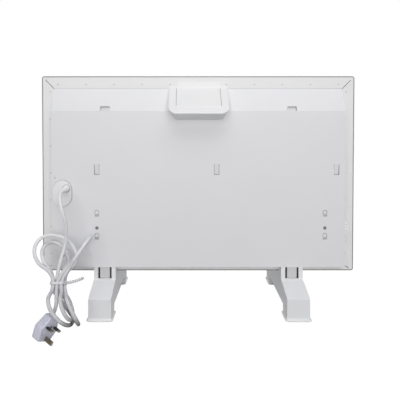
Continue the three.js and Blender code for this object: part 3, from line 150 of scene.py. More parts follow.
def new_tree(name, inputs):
    """A tree and its inputs by name. Each has a kind and, unless it is a mesh, a usual value."""
    tree = bpy.data.node_groups.new(name, "GeometryNodeTree")
    for label, kind, *usual in inputs:
        socket = tree.interface.new_socket(label, in_out="INPUT", socket_type="NodeSocket" + kind)
        if usual:
            socket.default_value = usual[0]
    tree.interface.new_socket("Geometry", in_out="OUTPUT", socket_type="NodeSocketGeometry")
    return tree, tree.nodes.new("NodeGroupInput").outputs


# Finishes, each kept under its name

FINISHES = {}


def new_finish(name, metallic=0.0, coat=0.0, specular=0.5):
    """A new finish's tree and its shader."""
    made = bpy.data.materials.new(name)
    made.use_nodes = True
    FINISHES[name] = made
    shader = made.node_tree.nodes["Principled BSDF"]
    shader.inputs["Metallic"].default_value = metallic
    shader.inputs["Coat Weight"].default_value = coat
    shader.inputs["Specular IOR Level"].default_value = specular
    return made.node_tree, shader


def coloured(tree, shader, colour, roughness):
    feed(tree, shader.inputs["Base Color"], colour)
    feed(tree, shader.inputs["Roughness"], roughness)


def raised(tree, shader, height, relief, strength):
    """Gives the surface a relief, in millimetres, that follows a pattern."""
    bump = node(tree, "ShaderNodeBump", Height=height, Distance=relief * MM, Strength=strength)
    feed(tree, shader.inputs["Normal"], bump)
    return bump


WAVE_RELIEF = 0.5


def powder_coat(name, colour):
    """Paint baked on sheet metal: a fine orange peel over faint waves in the sheet."""
    tree, shader = new_finish(name, specular=0.45)
    peel = pattern(tree, size=1.6, detail=1.5)
    cloud = pattern(tree, size=90, detail=3)
    waves = pattern(tree, size=160, detail=1)
    gloss = between(tree, peel, low=0.34, high=0.44)
    coloured(tree, shader, tinted(tree, cloud, colour, share=0.012), gloss)
    bump = raised(tree, shader, peel, relief=0.02, strength=0.6)
    wave = node(tree, "ShaderNodeBump", Height=waves, Distance=WAVE_RELIEF * MM, Strength=0.5)
    feed(tree, bump.inputs["Normal"], wave)


FLANGE_BACK = -31
CASING_MIDDLE = (0, 0, 329)
CASING_HALF = (390, 0, 244)
CASING_CORNER = 6
# Painted shade: a dark line round the outer edge of the casing's back, where the edge would fall into shade
EDGE_SHADE_WIDTH = 2.8
EDGE_SHADE_BLUR = 0.5
EDGE_SHADE_DEPTHS = (1, 2)  # from the flange's back face, where the painted edge shade fades out
EDGE_SHADE_COLOUR = (0.27, 0.25, 0.245, 1)


def add_edge_shade(name):
    """Paints shade into a finish at the outermost edge of the casing's back: a dark line where the edge would
    fall into shade.
    """
    tree = FINISHES[name].node_tree
    colour = tree.nodes["Principled BSDF"].inputs["Base Color"]
    place = own_place(tree)
    mirrored = vector_maths(tree, "ABSOLUTE", vector_maths(tree, "SUBTRACT", place, metres(*CASING_MIDDLE)))
    corner = metres(*(half - CASING_CORNER for half in CASING_HALF))
    past_corner = vector_maths(tree, "MAXIMUM", vector_maths(tree, "SUBTRACT", mirrored, corner), (0, 0, 0))
    flat = vector_maths(tree, "MULTIPLY", past_corner, (1, 0, 1))
    reach = vector_maths(tree, "LENGTH", flat, output="Value")
    start = CASING_CORNER - EDGE_SHADE_WIDTH
    rim = between(tree, reach, 0, 1, *metres(start, start + EDGE_SHADE_BLUR))
    depth = node(tree, "ShaderNodeSeparateXYZ", Vector=place).outputs["Y"]
    behind = between(tree, depth, 1, 0, *metres(*(FLANGE_BACK + part for part in EDGE_SHADE_DEPTHS)))
    share = maths(tree, "MULTIPLY", rim, behind)
    feed(tree, colour, mixed(tree, share, colour.links[0].from_socket, EDGE_SHADE_COLOUR))


def moulded(name, colour, roughness=0.42, texture=0.35):
    """Moulded plastic with the fine texture of its tool and faint flow marks."""
    tree, shader = new_finish(name)
    tool_marks = pattern(tree, size=texture)
    flow = pattern(tree, size=30, detail=3, stretch=(1, 1, 2.5))
    gloss = between(tree, flow, low=roughness - 0.04, high=roughness + 0.06)
    coloured(tree, shader, tinted(tree, flow, colour, share=0.015), gloss)
    raised(tree, shader, tool_marks, relief=0.012, strength=0.7)


# Painted shade, dark near the floor, and a painted lighter colour higher up, as heights in millimetres
FLOOR_SHADE_LEVELS = (36, 54)
FLOOR_SHADE_COLOUR = (0.11, 0.10, 0.10, 1)
SHEATH_LIGHT_LEVELS = (110, 190)
LIT_SHEATH_COLOUR = (0.84, 0.84, 0.85)


def sheath(name, colour):
    """A flexible sheath, smooth, with painted light and shade: greyer low down, lighter higher up, and dark
    where its loops hang nearest the floor.
    """
    tree, shader = new_finish(name, specular=0.2)
    handled = pattern(tree, size=18, detail=3)
    height = node(tree, "ShaderNodeSeparateXYZ", Vector=own_place(tree)).outputs["Z"]
    # Painted light makes the lead lighter higher up, and painted shade makes it dark where the loops come
    # near the floor
    lit_share = between(tree, height, 0, 1, *metres(*SHEATH_LIGHT_LEVELS))
    low = between(tree, height, 1, 0, *metres(*FLOOR_SHADE_LEVELS))
    shaded_tone = tinted(tree, handled, colour, share=0.05)
    lit_and_shaded = mixed(tree, lit_share, shaded_tone, tinted(tree, handled, LIT_SHEATH_COLOUR, share=0.03))
    floor_shade = maths(tree, "MULTIPLY", low, between(tree, handled, low=0.55, high=0.95))
    gloss = between(tree, handled, low=0.46, high=0.62)
    coloured(tree, shader, mixed(tree, floor_shade, lit_and_shaded, FLOOR_SHADE_COLOUR), gloss)
    raised(tree, shader, pattern(tree, size=0.9), relief=0.02, strength=0.5)


def drawn_metal(name, colour, roughness, stretch=(1, 1, 1)):
    """Metal with fine lines along the way it was drawn or rolled."""
    tree, shader = new_finish(name, metallic=1.0)
    lines = pattern(tree, size=0.4, detail=3, stretch=stretch)
    blotch = pattern(tree, size=14, detail=3)
    gloss = between(tree, lines, low=roughness - 0.08, high=roughness + 0.12)
    coloured(tree, shader, tinted(tree, blotch, colour, share=0.08), gloss)
    raised(tree, shader, lines, relief=0.006, strength=0.6)


SPANGLE_SIZE = 2.2


def zinc_plated(name, colour):
    """Bright zinc with its spangle."""
    tree, shader = new_finish(name, metallic=1.0)
    spangle = node(tree, "ShaderNodeTexVoronoi", Vector=own_place(tree), Scale=1 / (SPANGLE_SIZE * MM))
    gloss = between(tree, spangle, low=0.28, high=0.42)
    coloured(tree, shader, tinted(tree, spangle, colour, share=0.1), gloss)
    raised(tree, shader, pattern(tree, size=0.3), relief=0.005, strength=0.5)


def matt_rubber(name, colour):
    tree, shader = new_finish(name, specular=0.3)
    dust = pattern(tree, size=6, detail=4)
    coloured(tree, shader, tinted(tree, dust, colour, share=0.25), between(tree, dust, low=0.72, high=0.88))
    raised(tree, shader, pattern(tree, size=0.5), relief=0.03, strength=0.8)


def fired_ceramic(name, colour):
    tree, shader = new_finish(name, specular=0.35)
    speckle = pattern(tree, size=0.8, detail=3)
    gloss = between(tree, speckle, low=0.6, high=0.8)
    coloured(tree, shader, tinted(tree, speckle, colour, share=0.06), gloss)
    raised(tree, shader, speckle, relief=0.02, strength=0.6)


WEAVE_SIZE = 3
WEAVE_WANDER = 0.4
LACQUER_ROUGHNESS = 0.35


def woven_board(name, colour):
    """Lacquered board over a fine glass weave."""
    tree, shader = new_finish(name, coat=0.3)
    scale = 1 / (WEAVE_SIZE * MM)
    waves = node(tree, "ShaderNodeTexWave", Vector=own_place(tree), Scale=scale, Distortion=WEAVE_WANDER)
    waves.wave_profile = "SIN"
    weave = waves.outputs["Fac"]
    coloured(tree, shader, tinted(tree, weave, colour, share=0.12), LACQUER_ROUGHNESS)
    raised(tree, shader, weave, relief=0.01, strength=0.4)


def smoked_window(name, colour):
    tree, shader = new_finish(name, coat=0.6)
    haze = pattern(tree, size=5, detail=3)
    coloured(tree, shader, tinted(tree, haze, colour, share=0.1), between(tree, haze, low=0.06, high=0.13))


powder_coat("painted_steel", (0.79, 0.79, 0.81))
# Painted shade: a darker copy of the painted steel for the pockets behind the bracket slots, where shade
# falls
powder_coat("pocket_paint_shaded", (0.72, 0.72, 0.73))
powder_coat("spot_paint", (0.60, 0.60, 0.61))
# Painted light: a lighter copy of the painted steel for the casing, whose flange catches more light than the
# cover
powder_coat("casing_paint_lit", (0.83, 0.83, 0.83))
add_edge_shade("casing_paint_lit")
zinc_plated("dull_zinc", (0.42, 0.42, 0.43))
drawn_metal("dull_aluminium", (0.22, 0.22, 0.23), roughness=0.5, stretch=(30, 1, 1))
# Painted shade: near-black for the shade in gaps and slits, dark grey for the shade in the seams round the
# cable plate and the gland
moulded("shadow_gap", (0.03, 0.03, 0.03), roughness=0.85)
moulded("seam_shade", (0.36, 0.35, 0.35), roughness=0.8)
moulded("white_plastic", (0.88, 0.88, 0.885))
moulded("plate_plastic", (0.84, 0.84, 0.85))
moulded("foot_plastic", (0.82, 0.825, 0.84), roughness=0.48)
moulded("latch_plastic", (0.62, 0.61, 0.625), roughness=0.5)
sheath("lead_sheath", (0.64, 0.64, 0.66))
moulded("tie_plastic", (0.74, 0.74, 0.76), roughness=0.4, texture=0.6)
moulded("plug_plastic", (0.66, 0.665, 0.77), roughness=0.3)
moulded("pin_sleeve", (0.03, 0.03, 0.035), roughness=0.4)
# Painted shade: the brass is darkened to the look of pins lying in shadow
drawn_metal("plug_brass", (0.25, 0.22, 0.17), roughness=0.42)
drawn_metal("bare_aluminium", (0.72, 0.73, 0.75), roughness=0.34, stretch=(30, 1, 1))
zinc_plated("zinc_plate", (0.60, 0.61, 0.63))
drawn_metal("dark_steel", (0.22, 0.22, 0.23), roughness=0.4)
drawn_metal("blacked_steel", (0.07, 0.07, 0.075), roughness=0.45)
matt_rubber("rubber_pad", (0.42, 0.42, 0.43))
fired_ceramic("ceramic", (0.80, 0.76, 0.66))
moulded("button_plastic", (0.42, 0.43, 0.45), roughness=0.5)
moulded("mark_ink", (0.12, 0.12, 0.13), roughness=0.5)
woven_board("board_laminate", (0.04, 0.17, 0.09))
smoked_window("dark_window", (0.015, 0.015, 0.02))

# Pieces whose finish hasn't the name of their material slot
OWN_FINISH = {
    "casing_frame": "casing_paint_lit", "cable_plate": "plate_plastic", "heat_shield": "dull_aluminium",
    "element_bracket_left": "dull_zinc", "element_bracket_right": "dull_zinc",
    "foot_latch_left": "latch_plastic", "foot_latch_right": "latch_plastic",
    "button_power": "button_plastic", "button_heat": "button_plastic", "button_timer": "button_plastic",
    "slot_pocket_left": "pocket_paint_shaded", "slot_pocket_right": "pocket_paint_shaded",
}


# Rounded edges

# The edges' radius, in millimetres
EDGE_OF = {
    "rear_cover": 0.5, "casing_frame": 0.4, "front_panel": 0.3, "cable_plate": 0.7, "control_housing": 0.8,
    "control_door": 0.5, "control_fascia": 0.3, "foot_left": 0.8, "foot_right": 0.8, "foot_latch_left": 0.5,
    "foot_latch_right": 0.5, "thermostat_wheel": 0.3, "cord_gland": 0.2,
}
SHARP_ANGLE = math.radians(32)
# Pieces whose shallow bends are crisp
CRISP_ANGLE = {"rear_cover": math.radians(20), "foot_left": math.radians(24), "foot_right": math.radians(24)}
WELD_DISTANCE = 0.002


def smooth_flats():
    """A tree that shades a mesh smooth but for its sharp edges."""
    tree, given = new_tree("smooth_flats", [("Geometry", "Geometry"), ("Sharp angle", "Float", SHARP_ANGLE)])
    faces = node(tree, "GeometryNodeSetShadeSmooth", Geometry=given["Geometry"])
    bend, limit = node(tree, "GeometryNodeInputMeshEdgeAngle"), given["Sharp angle"]
    sharp = maths(tree, "GREATER_THAN", bend, limit, kind="FunctionNodeCompare", output="Result")
    edges = node(tree, "GeometryNodeSetShadeSmooth", Geometry=faces, Selection=sharp, Shade_Smooth=False)
    edges.domain = "EDGE"
    node(tree, "NodeGroupOutput", Geometry=edges)
    return tree


SMOOTH_FLATS = smooth_flats()


def soften(piece, radius, sharp):
    """Welds a piece's triangles and rounds its sharp edges, as pressing and moulding leave them."""
    weld = piece.modifiers.new("weld", "WELD")
    weld.merge_threshold = WELD_DISTANCE * MM
    if radius:
        bevel = piece.modifiers.new("round", "BEVEL")
        bevel.width = radius * MM
        bevel.segments = 2
        bevel.limit_method = "ANGLE"
        bevel.angle_limit = sharp
        bevel.use_clamp_overlap = True
    smooth = piece.modifiers.new("smooth", "NODES")
    smooth.node_group = SMOOTH_FLATS
    smooth[SMOOTH_FLATS.interface.items_tree["Sharp angle"].identifier] = sharp
    even = piece.modifiers.new("even", "WEIGHTED_NORMAL")
    even.mode = "FACE_AREA_WITH_ANGLE"
    even.keep_sharp = True


def finish_nodes():
    slots = {part["node"]: part["material_slot"] for part in frame["record"]["subparts"]}
    for name, piece in frame["nodes"].items():
        piece.data.materials.clear()
        piece.data.materials.append(FINISHES[OWN_FINISH.get(name, slots[name])])
        soften(piece, EDGE_OF.get(name, 0), CRISP_ANGLE.get(name, SHARP_ANGLE))


finish_nodes()


# Making meshes

DOUBLE_DISTANCE = 0.001
SQUARE = ((-1, -1), (1, -1), (1, 1), (-1, 1))  # its corners, anticlockwise


def add_piece(name, mesh, finish, body="heater"):
    piece = new_object(name, mesh)
    if finish:
        mesh.materials.append(FINISHES[finish])
    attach(piece, body)
    return piece


def shade(mesh):
    """Shades a mesh smooth but for its sharp edges."""
    mesh.shade_smooth()
    mesh.set_sharp_from_angle(angle=SHARP_ANGLE)


def plain_mesh(holder):
    """What an object's modifiers make of it, as a mesh. The object itself is removed."""
    bpy.context.view_layer.update()
    mesh = bpy.data.meshes.new_from_object(holder.evaluated_get(bpy.context.evaluated_depsgraph_get()))
    bpy.data.objects.remove(holder)
    shade(mesh)
    return mesh


def mesh_of(name, shape, place=None, smooth=True):
    """A mesh from a shape and the matrix that places it, both in millimetres."""
    points, faces = shape
    mesh = bpy.data.meshes.new(name)
    place = place or Matrix()
    mesh.from_pydata([(place @ Vector(point)) * MM for point in points], [], faces)
    tidy = bmesh.new()
    tidy.from_mesh(mesh)
    bmesh.ops.remove_doubles(tidy, verts=tidy.verts, dist=DOUBLE_DISTANCE * MM)
    bmesh.ops.recalc_face_normals(tidy, faces=tidy.faces)
    tidy.to_mesh(mesh)
    tidy.free()
    if smooth:
        shade(mesh)
    return mesh


def add_shape(name, shape, finish, place=None, smooth=True):
    return add_piece(name, mesh_of(name, shape, place, smooth), finish)


def lofted(rings, closed=False):
    """A shape through rings of as many points each, capped at both ends unless closed."""
    count = len(rings[0])
    points = [point for ring in rings for point in ring]
    faces = []
    for level in range(len(rings) - (0 if closed else 1)):
        low, high = level * count, (level + 1) % len(rings) * count
        for side in range(count):
            following = (side + 1) % count
            faces.append([low + side, low + following, high + following, high + side])
    if not closed:
        faces.append(list(range(count))[::-1])
        faces.append([len(points) - count + side for side in range(count)])
    return points, faces


def joined(shapes):
    points, faces = [], []
    for shape_points, shape_faces in shapes:
        faces += [[len(points) + index for index in face] for face in shape_faces]
        points += shape_points
    return points, faces


def circle(radius, count):
    angles = [TURN * side / count for side in range(count)]
    return [(radius * math.cos(angle), radius * math.sin(angle)) for angle in angles]


def turned(profile, count=32):
    """A profile of radius and height pairs, turned about Z."""
    return lofted([[(x, y, height) for x, y in circle(radius, count)] for radius, height in profile])


def sides_at(corners, index):
    """A corner of an outline and the directions in which the outline comes to it and leaves it."""
    corner = Vector(corners[index])
    coming = (corner - Vector(corners[index - 1])).normalized()
    leaving = (Vector(corners[(index + 1) % len(corners)]) - corner).normalized()
    return corner, coming, leaving


def rounded_outline(corners, radius, steps):
    """A convex outline, anticlockwise, with its corners rounded."""
    outline = []
    for index in range(len(corners)):
        corner, coming, leaving = sides_at(corners, index)
        half = (-coming).angle(leaving) / 2
        centre = corner + (leaving - coming).normalized() * radius / math.sin(half)
        start = corner - coming * radius / math.tan(half) - centre
        sweep = math.pi - 2 * half
        turns = (Matrix.Rotation(sweep * step / steps, 2) for step in range(steps + 1))
        outline += [tuple(centre + turn @ start) for turn in turns]
    return outline


def offset_outline(corners, distance):
    """The corners of a convex outline moved outwards."""
    moved = []
    for index in range(len(corners)):
        corner, coming, leaving = sides_at(corners, index)
        outward = (Vector((coming.y, -coming.x)) + Vector((leaving.y, -leaving.x))).normalized()
        share = outward.dot(Vector((leaving.y, -leaving.x)))
        moved.append(tuple(corner + outward * distance / share))
    return moved


def facing_back(place):
    """Puts a shape at a place, with its own Z turned to -Y, the way that the heater's back faces."""
    return Matrix.Translation(place) @ Matrix.Rotation(math.radians(90), 4, "X")


# The lead's line: a run from the gland, a hank of six lobes tied at its waist, and a tail to the plug

LEAD_DIAMETER = 8
LEAD_ROUNDNESS = 5  # how finely the lead's section is divided
GLAND_EXIT = Vector((-322, -88.4, 297.3))
RUN_ROUTE = [
    (-322, -97, 297.3), (-320.5, -110.5, 293.5), (-316, -125.5, 281.5), (-309, -132.5, 261.1),
    (-303.5, -129, 238.5), (-303, -123.5, 217), (-305, -118.5, 195), (-309, -118, 173), (-314, -125, 152.6),
]
WAIST = Matrix.Translation((-310.8, -158, 109.6)) @ Matrix.Rotation(math.radians(-24), 4, "X")
WAIST_STRAIGHT = 10
RUN_STRAIGHT = 14
STRAND_PITCH = 8.8
ROW_PITCH = 9
STRAND_SHARES = [(-0.5, 1), (-1, -1), (1.5, 1), (-1.5, 1), (0.5, 1), (1, -1), (0, -1)]
STRANDS = [(across * STRAND_PITCH, row * ROW_PITCH / 2) for across, row in STRAND_SHARES]
LOBE_STEPS = 24

# Each lobe's reach, crown and neck radius, ease, turn in degrees, lean to the right and inwards, way round
LOBES = [
    (82, 31.5, 25, 55, 72, 0.93, -0.02, -1),
    (103, 38.5, 36, 10, 26, -0.37, 0.25, 1),
    (81, 30.5, 28, 25.5, 100, 0.82, 0.2, 1),
    (90, 30, 45, 38.5, 55, -0.59, 0.79, 1),
    (71, 26, 27, 10, 82, 0.5, -0.08, -1),
    (100, 32.5, 41.5, 11, 102, 0.58, 0.34, 1),
]

PLUG_EXIT = Vector((-309.4, -193.4, 60.4))
PLUG_UP = Vector((0.42, 0.28, 0.86)).normalized()
PLUG_PINS = Vector((0.8, -0.52, -0.22)).normalized()
TAIL_REACH = 20
TAIL_STEPS = 6
LINE_STEPS = 3  # between two points of the route


def lobe_line(lobe, start, end, side):
    """A lobe's line between two strands at the waist, above it for side 1 and below for -1."""
    reach, crown, neck, ease, turn, rightwards, inwards, way = lobe
    turn = math.radians(turn)
    rise = math.sqrt(crown ** 2 + 2 * crown * neck)
    straight = max(0, reach - crown - rise)
    sweep = math.atan2(rise, neck)
    half = straight + neck * sweep + crown * (math.pi / 2 + sweep)
    line = []
    for step in range(LOBE_STEPS + 1):
        share = step / LOBE_STEPS
        travelled = 2 * half * min(share, 1 - share)
        out, up = 0, travelled
        if travelled > straight + neck * sweep:
            from_top = (half - travelled) / crown
            out, up = crown * math.sin(from_top), straight + rise + crown * math.cos(from_top)
        elif travelled > straight:
            bent = (travelled - straight) / neck
            out, up = neck * (1 - math.cos(bent)), straight + neck * math.sin(bent)
        across = -way * out if step < LOBE_STEPS / 2 else way * out
        blend = share * share * (3 - 2 * share)
        away = math.hypot(up, ease) - ease
        line.append(Vector((
            start[0] + (end[0] - start[0]) * blend + across * math.cos(turn) + rightwards * away,
            start[1] + (end[1] - start[1]) * blend + across * math.sin(turn) + inwards * away,
            side * up,
        )))
    return line


def line_through(points, steps):
    """Points on a centripetal curve through the given ones."""
    ends = [2 * points[0] - points[1], *points, 2 * points[-1] - points[-2]]
    line = []
    for before, start, end, after in zip(ends, ends[1:], ends[2:], ends[3:]):
        gaps = ((before, start), (start, end), (end, after))
        first, middle, last = ((far - near).length ** 0.5 for near, far in gaps)
        leaving = (start - before) / first - (end - before) / (first + middle) + (end - start) / middle
        arriving = (end - start) / middle - (after - start) / (middle + last) + (after - end) / last
        for step in range(steps):
            t = step / steps
            line.append(
                start * (2 * t ** 3 - 3 * t ** 2 + 1) + end * (3 * t ** 2 - 2 * t ** 3)
                + leaving * middle * (t ** 3 - 2 * t ** 2 + t) + arriving * middle * (t ** 3 - t ** 2)
            )
    return [*line, points[-1]]


def tail_line(start, direction):
    """From the waist, in the given direction, round into the plug."""
    reach = [start, start + direction * TAIL_REACH, PLUG_EXIT + PLUG_UP * TAIL_REACH, PLUG_EXIT]
    tail = []
    for step in range(1, TAIL_STEPS + 1):
        t = step / TAIL_STEPS
        shares = ((1 - t) ** 3, 3 * t * (1 - t) ** 2, 3 * t * t * (1 - t), t ** 3)
        tail.append(sum((share * point for share, point in zip(shares, reach)), Vector()))
    return tail


def lead_line():
    hank = [Vector((*STRANDS[0], WAIST_STRAIGHT))]
    for index, lobe in enumerate(LOBES):
        line = lobe_line(lobe, STRANDS[index], STRANDS[index + 1], 1 if index % 2 else -1)
        hank += line[1:] if index else line
    hank.append(Vector((*STRANDS[-1], -WAIST_STRAIGHT)))
    run = [GLAND_EXIT, *map(Vector, RUN_ROUTE), WAIST @ Vector((*STRANDS[0], WAIST_STRAIGHT + RUN_STRAIGHT))]
    tied = [WAIST @ point for point in hank]
    tail = tail_line(tied[-1], WAIST.to_3x3() @ Vector((0, 0, -1)))
    return line_through([*run, *tied, *tail], LINE_STEPS)


LEAD_LINE = lead_line()


def make_lead():
    curve = bpy.data.curves.new("lead", "CURVE")
    curve.dimensions = "3D"
    curve.bevel_depth = LEAD_DIAMETER / 2 * MM
    curve.bevel_resolution = LEAD_ROUNDNESS
    curve.use_fill_caps = True
    spline = curve.splines.new("POLY")
    spline.points.add(len(LEAD_LINE) - 1)
    for point, place in zip(spline.points, LEAD_LINE):
        point.co = (*(place * MM), 1)
    spline.use_smooth = True
    return add_piece("lead", curve, "lead_sheath")


lead = make_lead()
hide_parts("lead_run", "lead_hank", "lead_tail")


# Twist tie: a flat strip wound twice round the waist, its ends twisted together

TIE_TURNS = 2
TIE_WIDTH = 4
TIE_THICKNESS = 1
TIE_EDGE_SHARE = 0.6  # the edges' thickness, of the strip's
TIE_FLAT_SHARE = 0.45  # where the strip is flat, of its half width
TIE_CORE_SHARE = 0.2  # the wire's width, of the strip's
TIE_CORE = 0.55  # how far the wire inside stands out
TIE_REACH = 4.9  # from the strands' hull to the strip's middle
TIE_CORNER_STEPS = 8
TIE_SPREAD_SHARE = 0.75  # how far apart its two turns lie, of its width
TIE_LIFT = 0.35
TIE_WAVE = 0.15
TIE_WAVES = 3
TAIL_LENGTH = 40
TAIL_RISE = 16
TAIL_TWISTS = 4
TAIL_RADIUS = 2.7
TAIL_OVAL_SHARE = 0.42
TAIL_SAG = 1.5
TAIL_INSET = 1
TAIL_RINGS = 90
TAIL_SIDES = 16
TIP_PINCH = 0.25
TIP_SHARE = 0.03  # of the tail's length


def strip_ring(centre, outward, up):
    """The strip's section: two thin edges and a round middle over the wire."""
    half, thin = TIE_WIDTH / 2, TIE_THICKNESS / 2
    edge, flat, core = thin * TIE_EDGE_SHARE, half * TIE_FLAT_SHARE, half * TIE_CORE_SHARE
    section = [
        (-half, -edge), (-flat, -thin), (flat, -thin), (half, -edge), (half, edge), (flat, thin),
        (core, thin + TIE_CORE), (-core, thin + TIE_CORE), (-flat, thin), (-half, edge),
    ]
    return [tuple(centre + up * across + outward * high) for across, high in section]


def waist_loop():
    """The tie's way round the strands, from its corner at the front right."""
    rows = {side: [x for x, y in STRANDS if y * side > 0] for side in (-1, 1)}
    low, high = -ROW_PITCH / 2, ROW_PITCH / 2
    hull = [(min(rows[-1]), low), (max(rows[-1]), low), (max(rows[1]), high), (min(rows[1]), high)]
    loop = rounded_outline(offset_outline(hull, TIE_REACH), TIE_REACH, TIE_CORNER_STEPS)
    start = max(range(len(loop)), key=lambda index: loop[index][0] + loop[index][1])
    return loop[start:] + loop[:start]


def make_band(loop):
    rings = []
    count = len(loop) * TIE_TURNS
    for step in range(count + 1):
        x, y = loop[step % len(loop)]
        following, before = loop[(step + 1) % len(loop)], loop[step % len(loop) - 1]
        ahead = Vector((following[0] - before[0], following[1] - before[1], 0)).normalized()
        outward = Vector((ahead.y, -ahead.x, 0))
        height = (step / count - 0.5) * TIE_WIDTH * TIE_SPREAD_SHARE
        lift = TIE_LIFT + TIE_WAVE * math.sin(TURN * TIE_WAVES * step / count)
        rings.append(strip_ring(Vector((x, y, height)) + outward * lift, outward, Vector((0, 0, 1))))
    return add_shape("tie_band", lofted(rings), "tie_plastic", WAIST)


def make_twist(x, y):
    """The tie's two ends, twisted together, with a pinched tip."""
    base = Vector((x - TAIL_INSET, y - TAIL_INSET, 0))
    tilt = Matrix.Translation(base) @ Matrix.Rotation(math.radians(90 - TAIL_RISE), 4, "Y")
    rings = []
    for step in range(TAIL_RINGS + 1):
        share = step / TAIL_RINGS
        grip = 1 - TIP_PINCH * math.exp(-((share - 1) / TIP_SHARE) ** 2)
        sag = TAIL_SAG * math.sin(math.pi * share)
        ring = []
        for side in range(TAIL_SIDES):
            angle = TURN * side / TAIL_SIDES
            radius = TAIL_RADIUS * grip * (1 + TAIL_OVAL_SHARE * math.cos(2 * angle))
            turn = TURN * TAIL_TWISTS * share + angle
            ring.append((radius * math.cos(turn) + sag, radius * math.sin(turn), TAIL_LENGTH * share))
        rings.append(ring)
    return add_shape("tie_twist", lofted(rings), "tie_plastic", WAIST @ tilt)


tie_loop = waist_loop()
band = make_band(tie_loop)
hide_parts("twist_tie")
tie_pieces = [band, make_twist(*tie_loop[0])]


# Plug, in its own frame: X across, Y to the lead, Z out along the pins

PLUG_HEIGHT = 50
PLUG_FACE = 11
PLUG_BOSS_LENGTH = 3
PLUG_SEAT = 0.3  # between the boss and the lead's end
PLUG_CORNERS = [(-17, -25), (17, -25), (25, 0), (10.5, 25), (-10.5, 25), (-25, 0)]
PLUG_CORNER_RADIUS = 5
PLUG_CORNER_STEPS = 7
PLUG_CORNER_SHARE = 0.5  # how much a corner's radius shrinks with the outline
PLUG_SHRINK_LIMIT = 3
# How far the outline is drawn in, and its height
PLUG_PROFILE = [
    (3.6, -11), (2.2, -10.9), (1.1, -10.4), (0.4, -9.6), (0.05, -8.4), (0, -6.1), (0.25, -5.95), (0.7, -5.9),
    (0.7, -5.6), (0.25, -5.55), (0, -5.4), (0.2, 2), (0.55, 8.6), (0.85, 10.1), (1.5, 10.75), (2.4, 11),
]
# The boss's radius, and how far it stands from the plug's middle
BOSS_PROFILE = [
    (7.8, 18), (7.6, 22.5), (6.6, 24.6), (5.7, 25.6), (5.5, 27.2), (5.2, 27.9), (4.6, 28.3), (4.1, 28.2),
]
PIN_ROW = 5
PIN_PITCH = 22.2
PIN_ROOT = 1  # how far a pin or sleeve starts inside the face
FLAT_PIN = ((6.3, 4), 17.7)
EARTH_PIN = ((4, 8), 22.7)
# Each pin's middle, its width and height, and its length
PINS = {
    "plug_pin_live": ((PIN_PITCH / 2, PIN_ROW), *FLAT_PIN),
    "plug_pin_neutral": ((-PIN_PITCH / 2, PIN_ROW), *FLAT_PIN),
    "plug_pin_earth": ((0, PIN_ROW - PIN_PITCH), *EARTH_PIN),
}
PIN_TIP = [(0, 2.2), (0.35, 0.9), (0.9, 0.2), (1.2, 0)]  # how far drawn in, and how far from the pin's end
PIN_CORNER = 0.35
SLEEVE_LENGTH = 12
SLEEVE_WALL = 0.12
SLEEVE_LIP = (0.3, 0.02)  # where the sleeve's end thins, and to what wall
SLEEVE_CORNER = 0.5
FUSE_MIDDLE = (0, -6)
FUSE_SIZE = (24, 8)
FUSE_PROFILE = [(0.15, -2), (0.15, 0.1), (0.35, 0.35), (0.8, 0.45)]  # from the face
FUSE_CORNER = 1.2
BLOCK_CORNER_STEPS = 3


def plug_frame():
    across = PLUG_UP.cross(PLUG_PINS).normalized()
    turn = Matrix((across, PLUG_UP, PLUG_PINS)).transposed().to_4x4()
    return Matrix.Translation(PLUG_EXIT - PLUG_UP * (PLUG_HEIGHT / 2 + PLUG_BOSS_LENGTH + PLUG_SEAT)) @ turn


PLUG = plug_frame()


def plug_ring(shrink, height):
    radius = PLUG_CORNER_RADIUS - min(shrink, PLUG_SHRINK_LIMIT) * PLUG_CORNER_SHARE
    outline = rounded_outline(offset_outline(PLUG_CORNERS, -shrink), radius, PLUG_CORNER_STEPS)
    return [(x, y, height) for x, y in outline]


def make_plug():
    shell = lofted([plug_ring(shrink, height) for shrink, height in PLUG_PROFILE])
    shell_piece = add_shape("plug_shell", shell, "plug_plastic", PLUG)
    turn = Matrix.Rotation(math.radians(-90), 4, "X")
    boss_piece = add_shape("plug_boss", turned(BOSS_PROFILE), "plug_plastic", PLUG @ turn)
    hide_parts("plug_body", "plug_cover")
    return [shell_piece, boss_piece]


def block_on_plug(name, middle, size, profile, corner, finish):
    """A block with rounded corners on the plug's face, drawn in at each height of its profile."""
    rings = []
    for draw, height in profile:
        half, tall = size[0] / 2 - draw, size[1] / 2 - draw
        corners = [(middle[0] + side * half, middle[1] + end * tall) for side, end in SQUARE]
        rings.append([(x, y, height) for x, y in rounded_outline(corners, corner, BLOCK_CORNER_STEPS)])
    return add_shape(name, lofted(rings), finish, PLUG)


def make_pins():
    pieces = []
    for name, (middle, size, length) in PINS.items():
        root, end = PLUG_FACE - PIN_ROOT, PLUG_FACE + length
        profile = [(0, root), *((draw, end - back) for draw, back in PIN_TIP)]
        pin = block_on_plug(name + "_bare", middle, size, profile, PIN_CORNER, "plug_brass")
        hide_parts(name)
        pieces.append(pin)
        if name != "plug_pin_earth":
            end = PLUG_FACE + SLEEVE_LENGTH
            profile = [(-SLEEVE_WALL, root), (-SLEEVE_WALL, end - SLEEVE_LIP[0]), (-SLEEVE_LIP[1], end)]
            pieces.append(block_on_plug(name + "_sleeve", middle, size, profile, SLEEVE_CORNER, "pin_sleeve"))
    return pieces


def make_fuse_carrier():
    profile = [(draw, PLUG_FACE + height) for draw, height in FUSE_PROFILE]
    carrier = block_on_plug(
        "fuse_carrier", FUSE_MIDDLE, FUSE_SIZE, profile, FUSE_CORNER, "plug_plastic",
    )
    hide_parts("plug_fuse_carrier")
    return carrier


plug_pieces = [*make_plug(), *make_pins(), make_fuse_carrier()]


# What repeats: trees with named sizes, made plain meshes

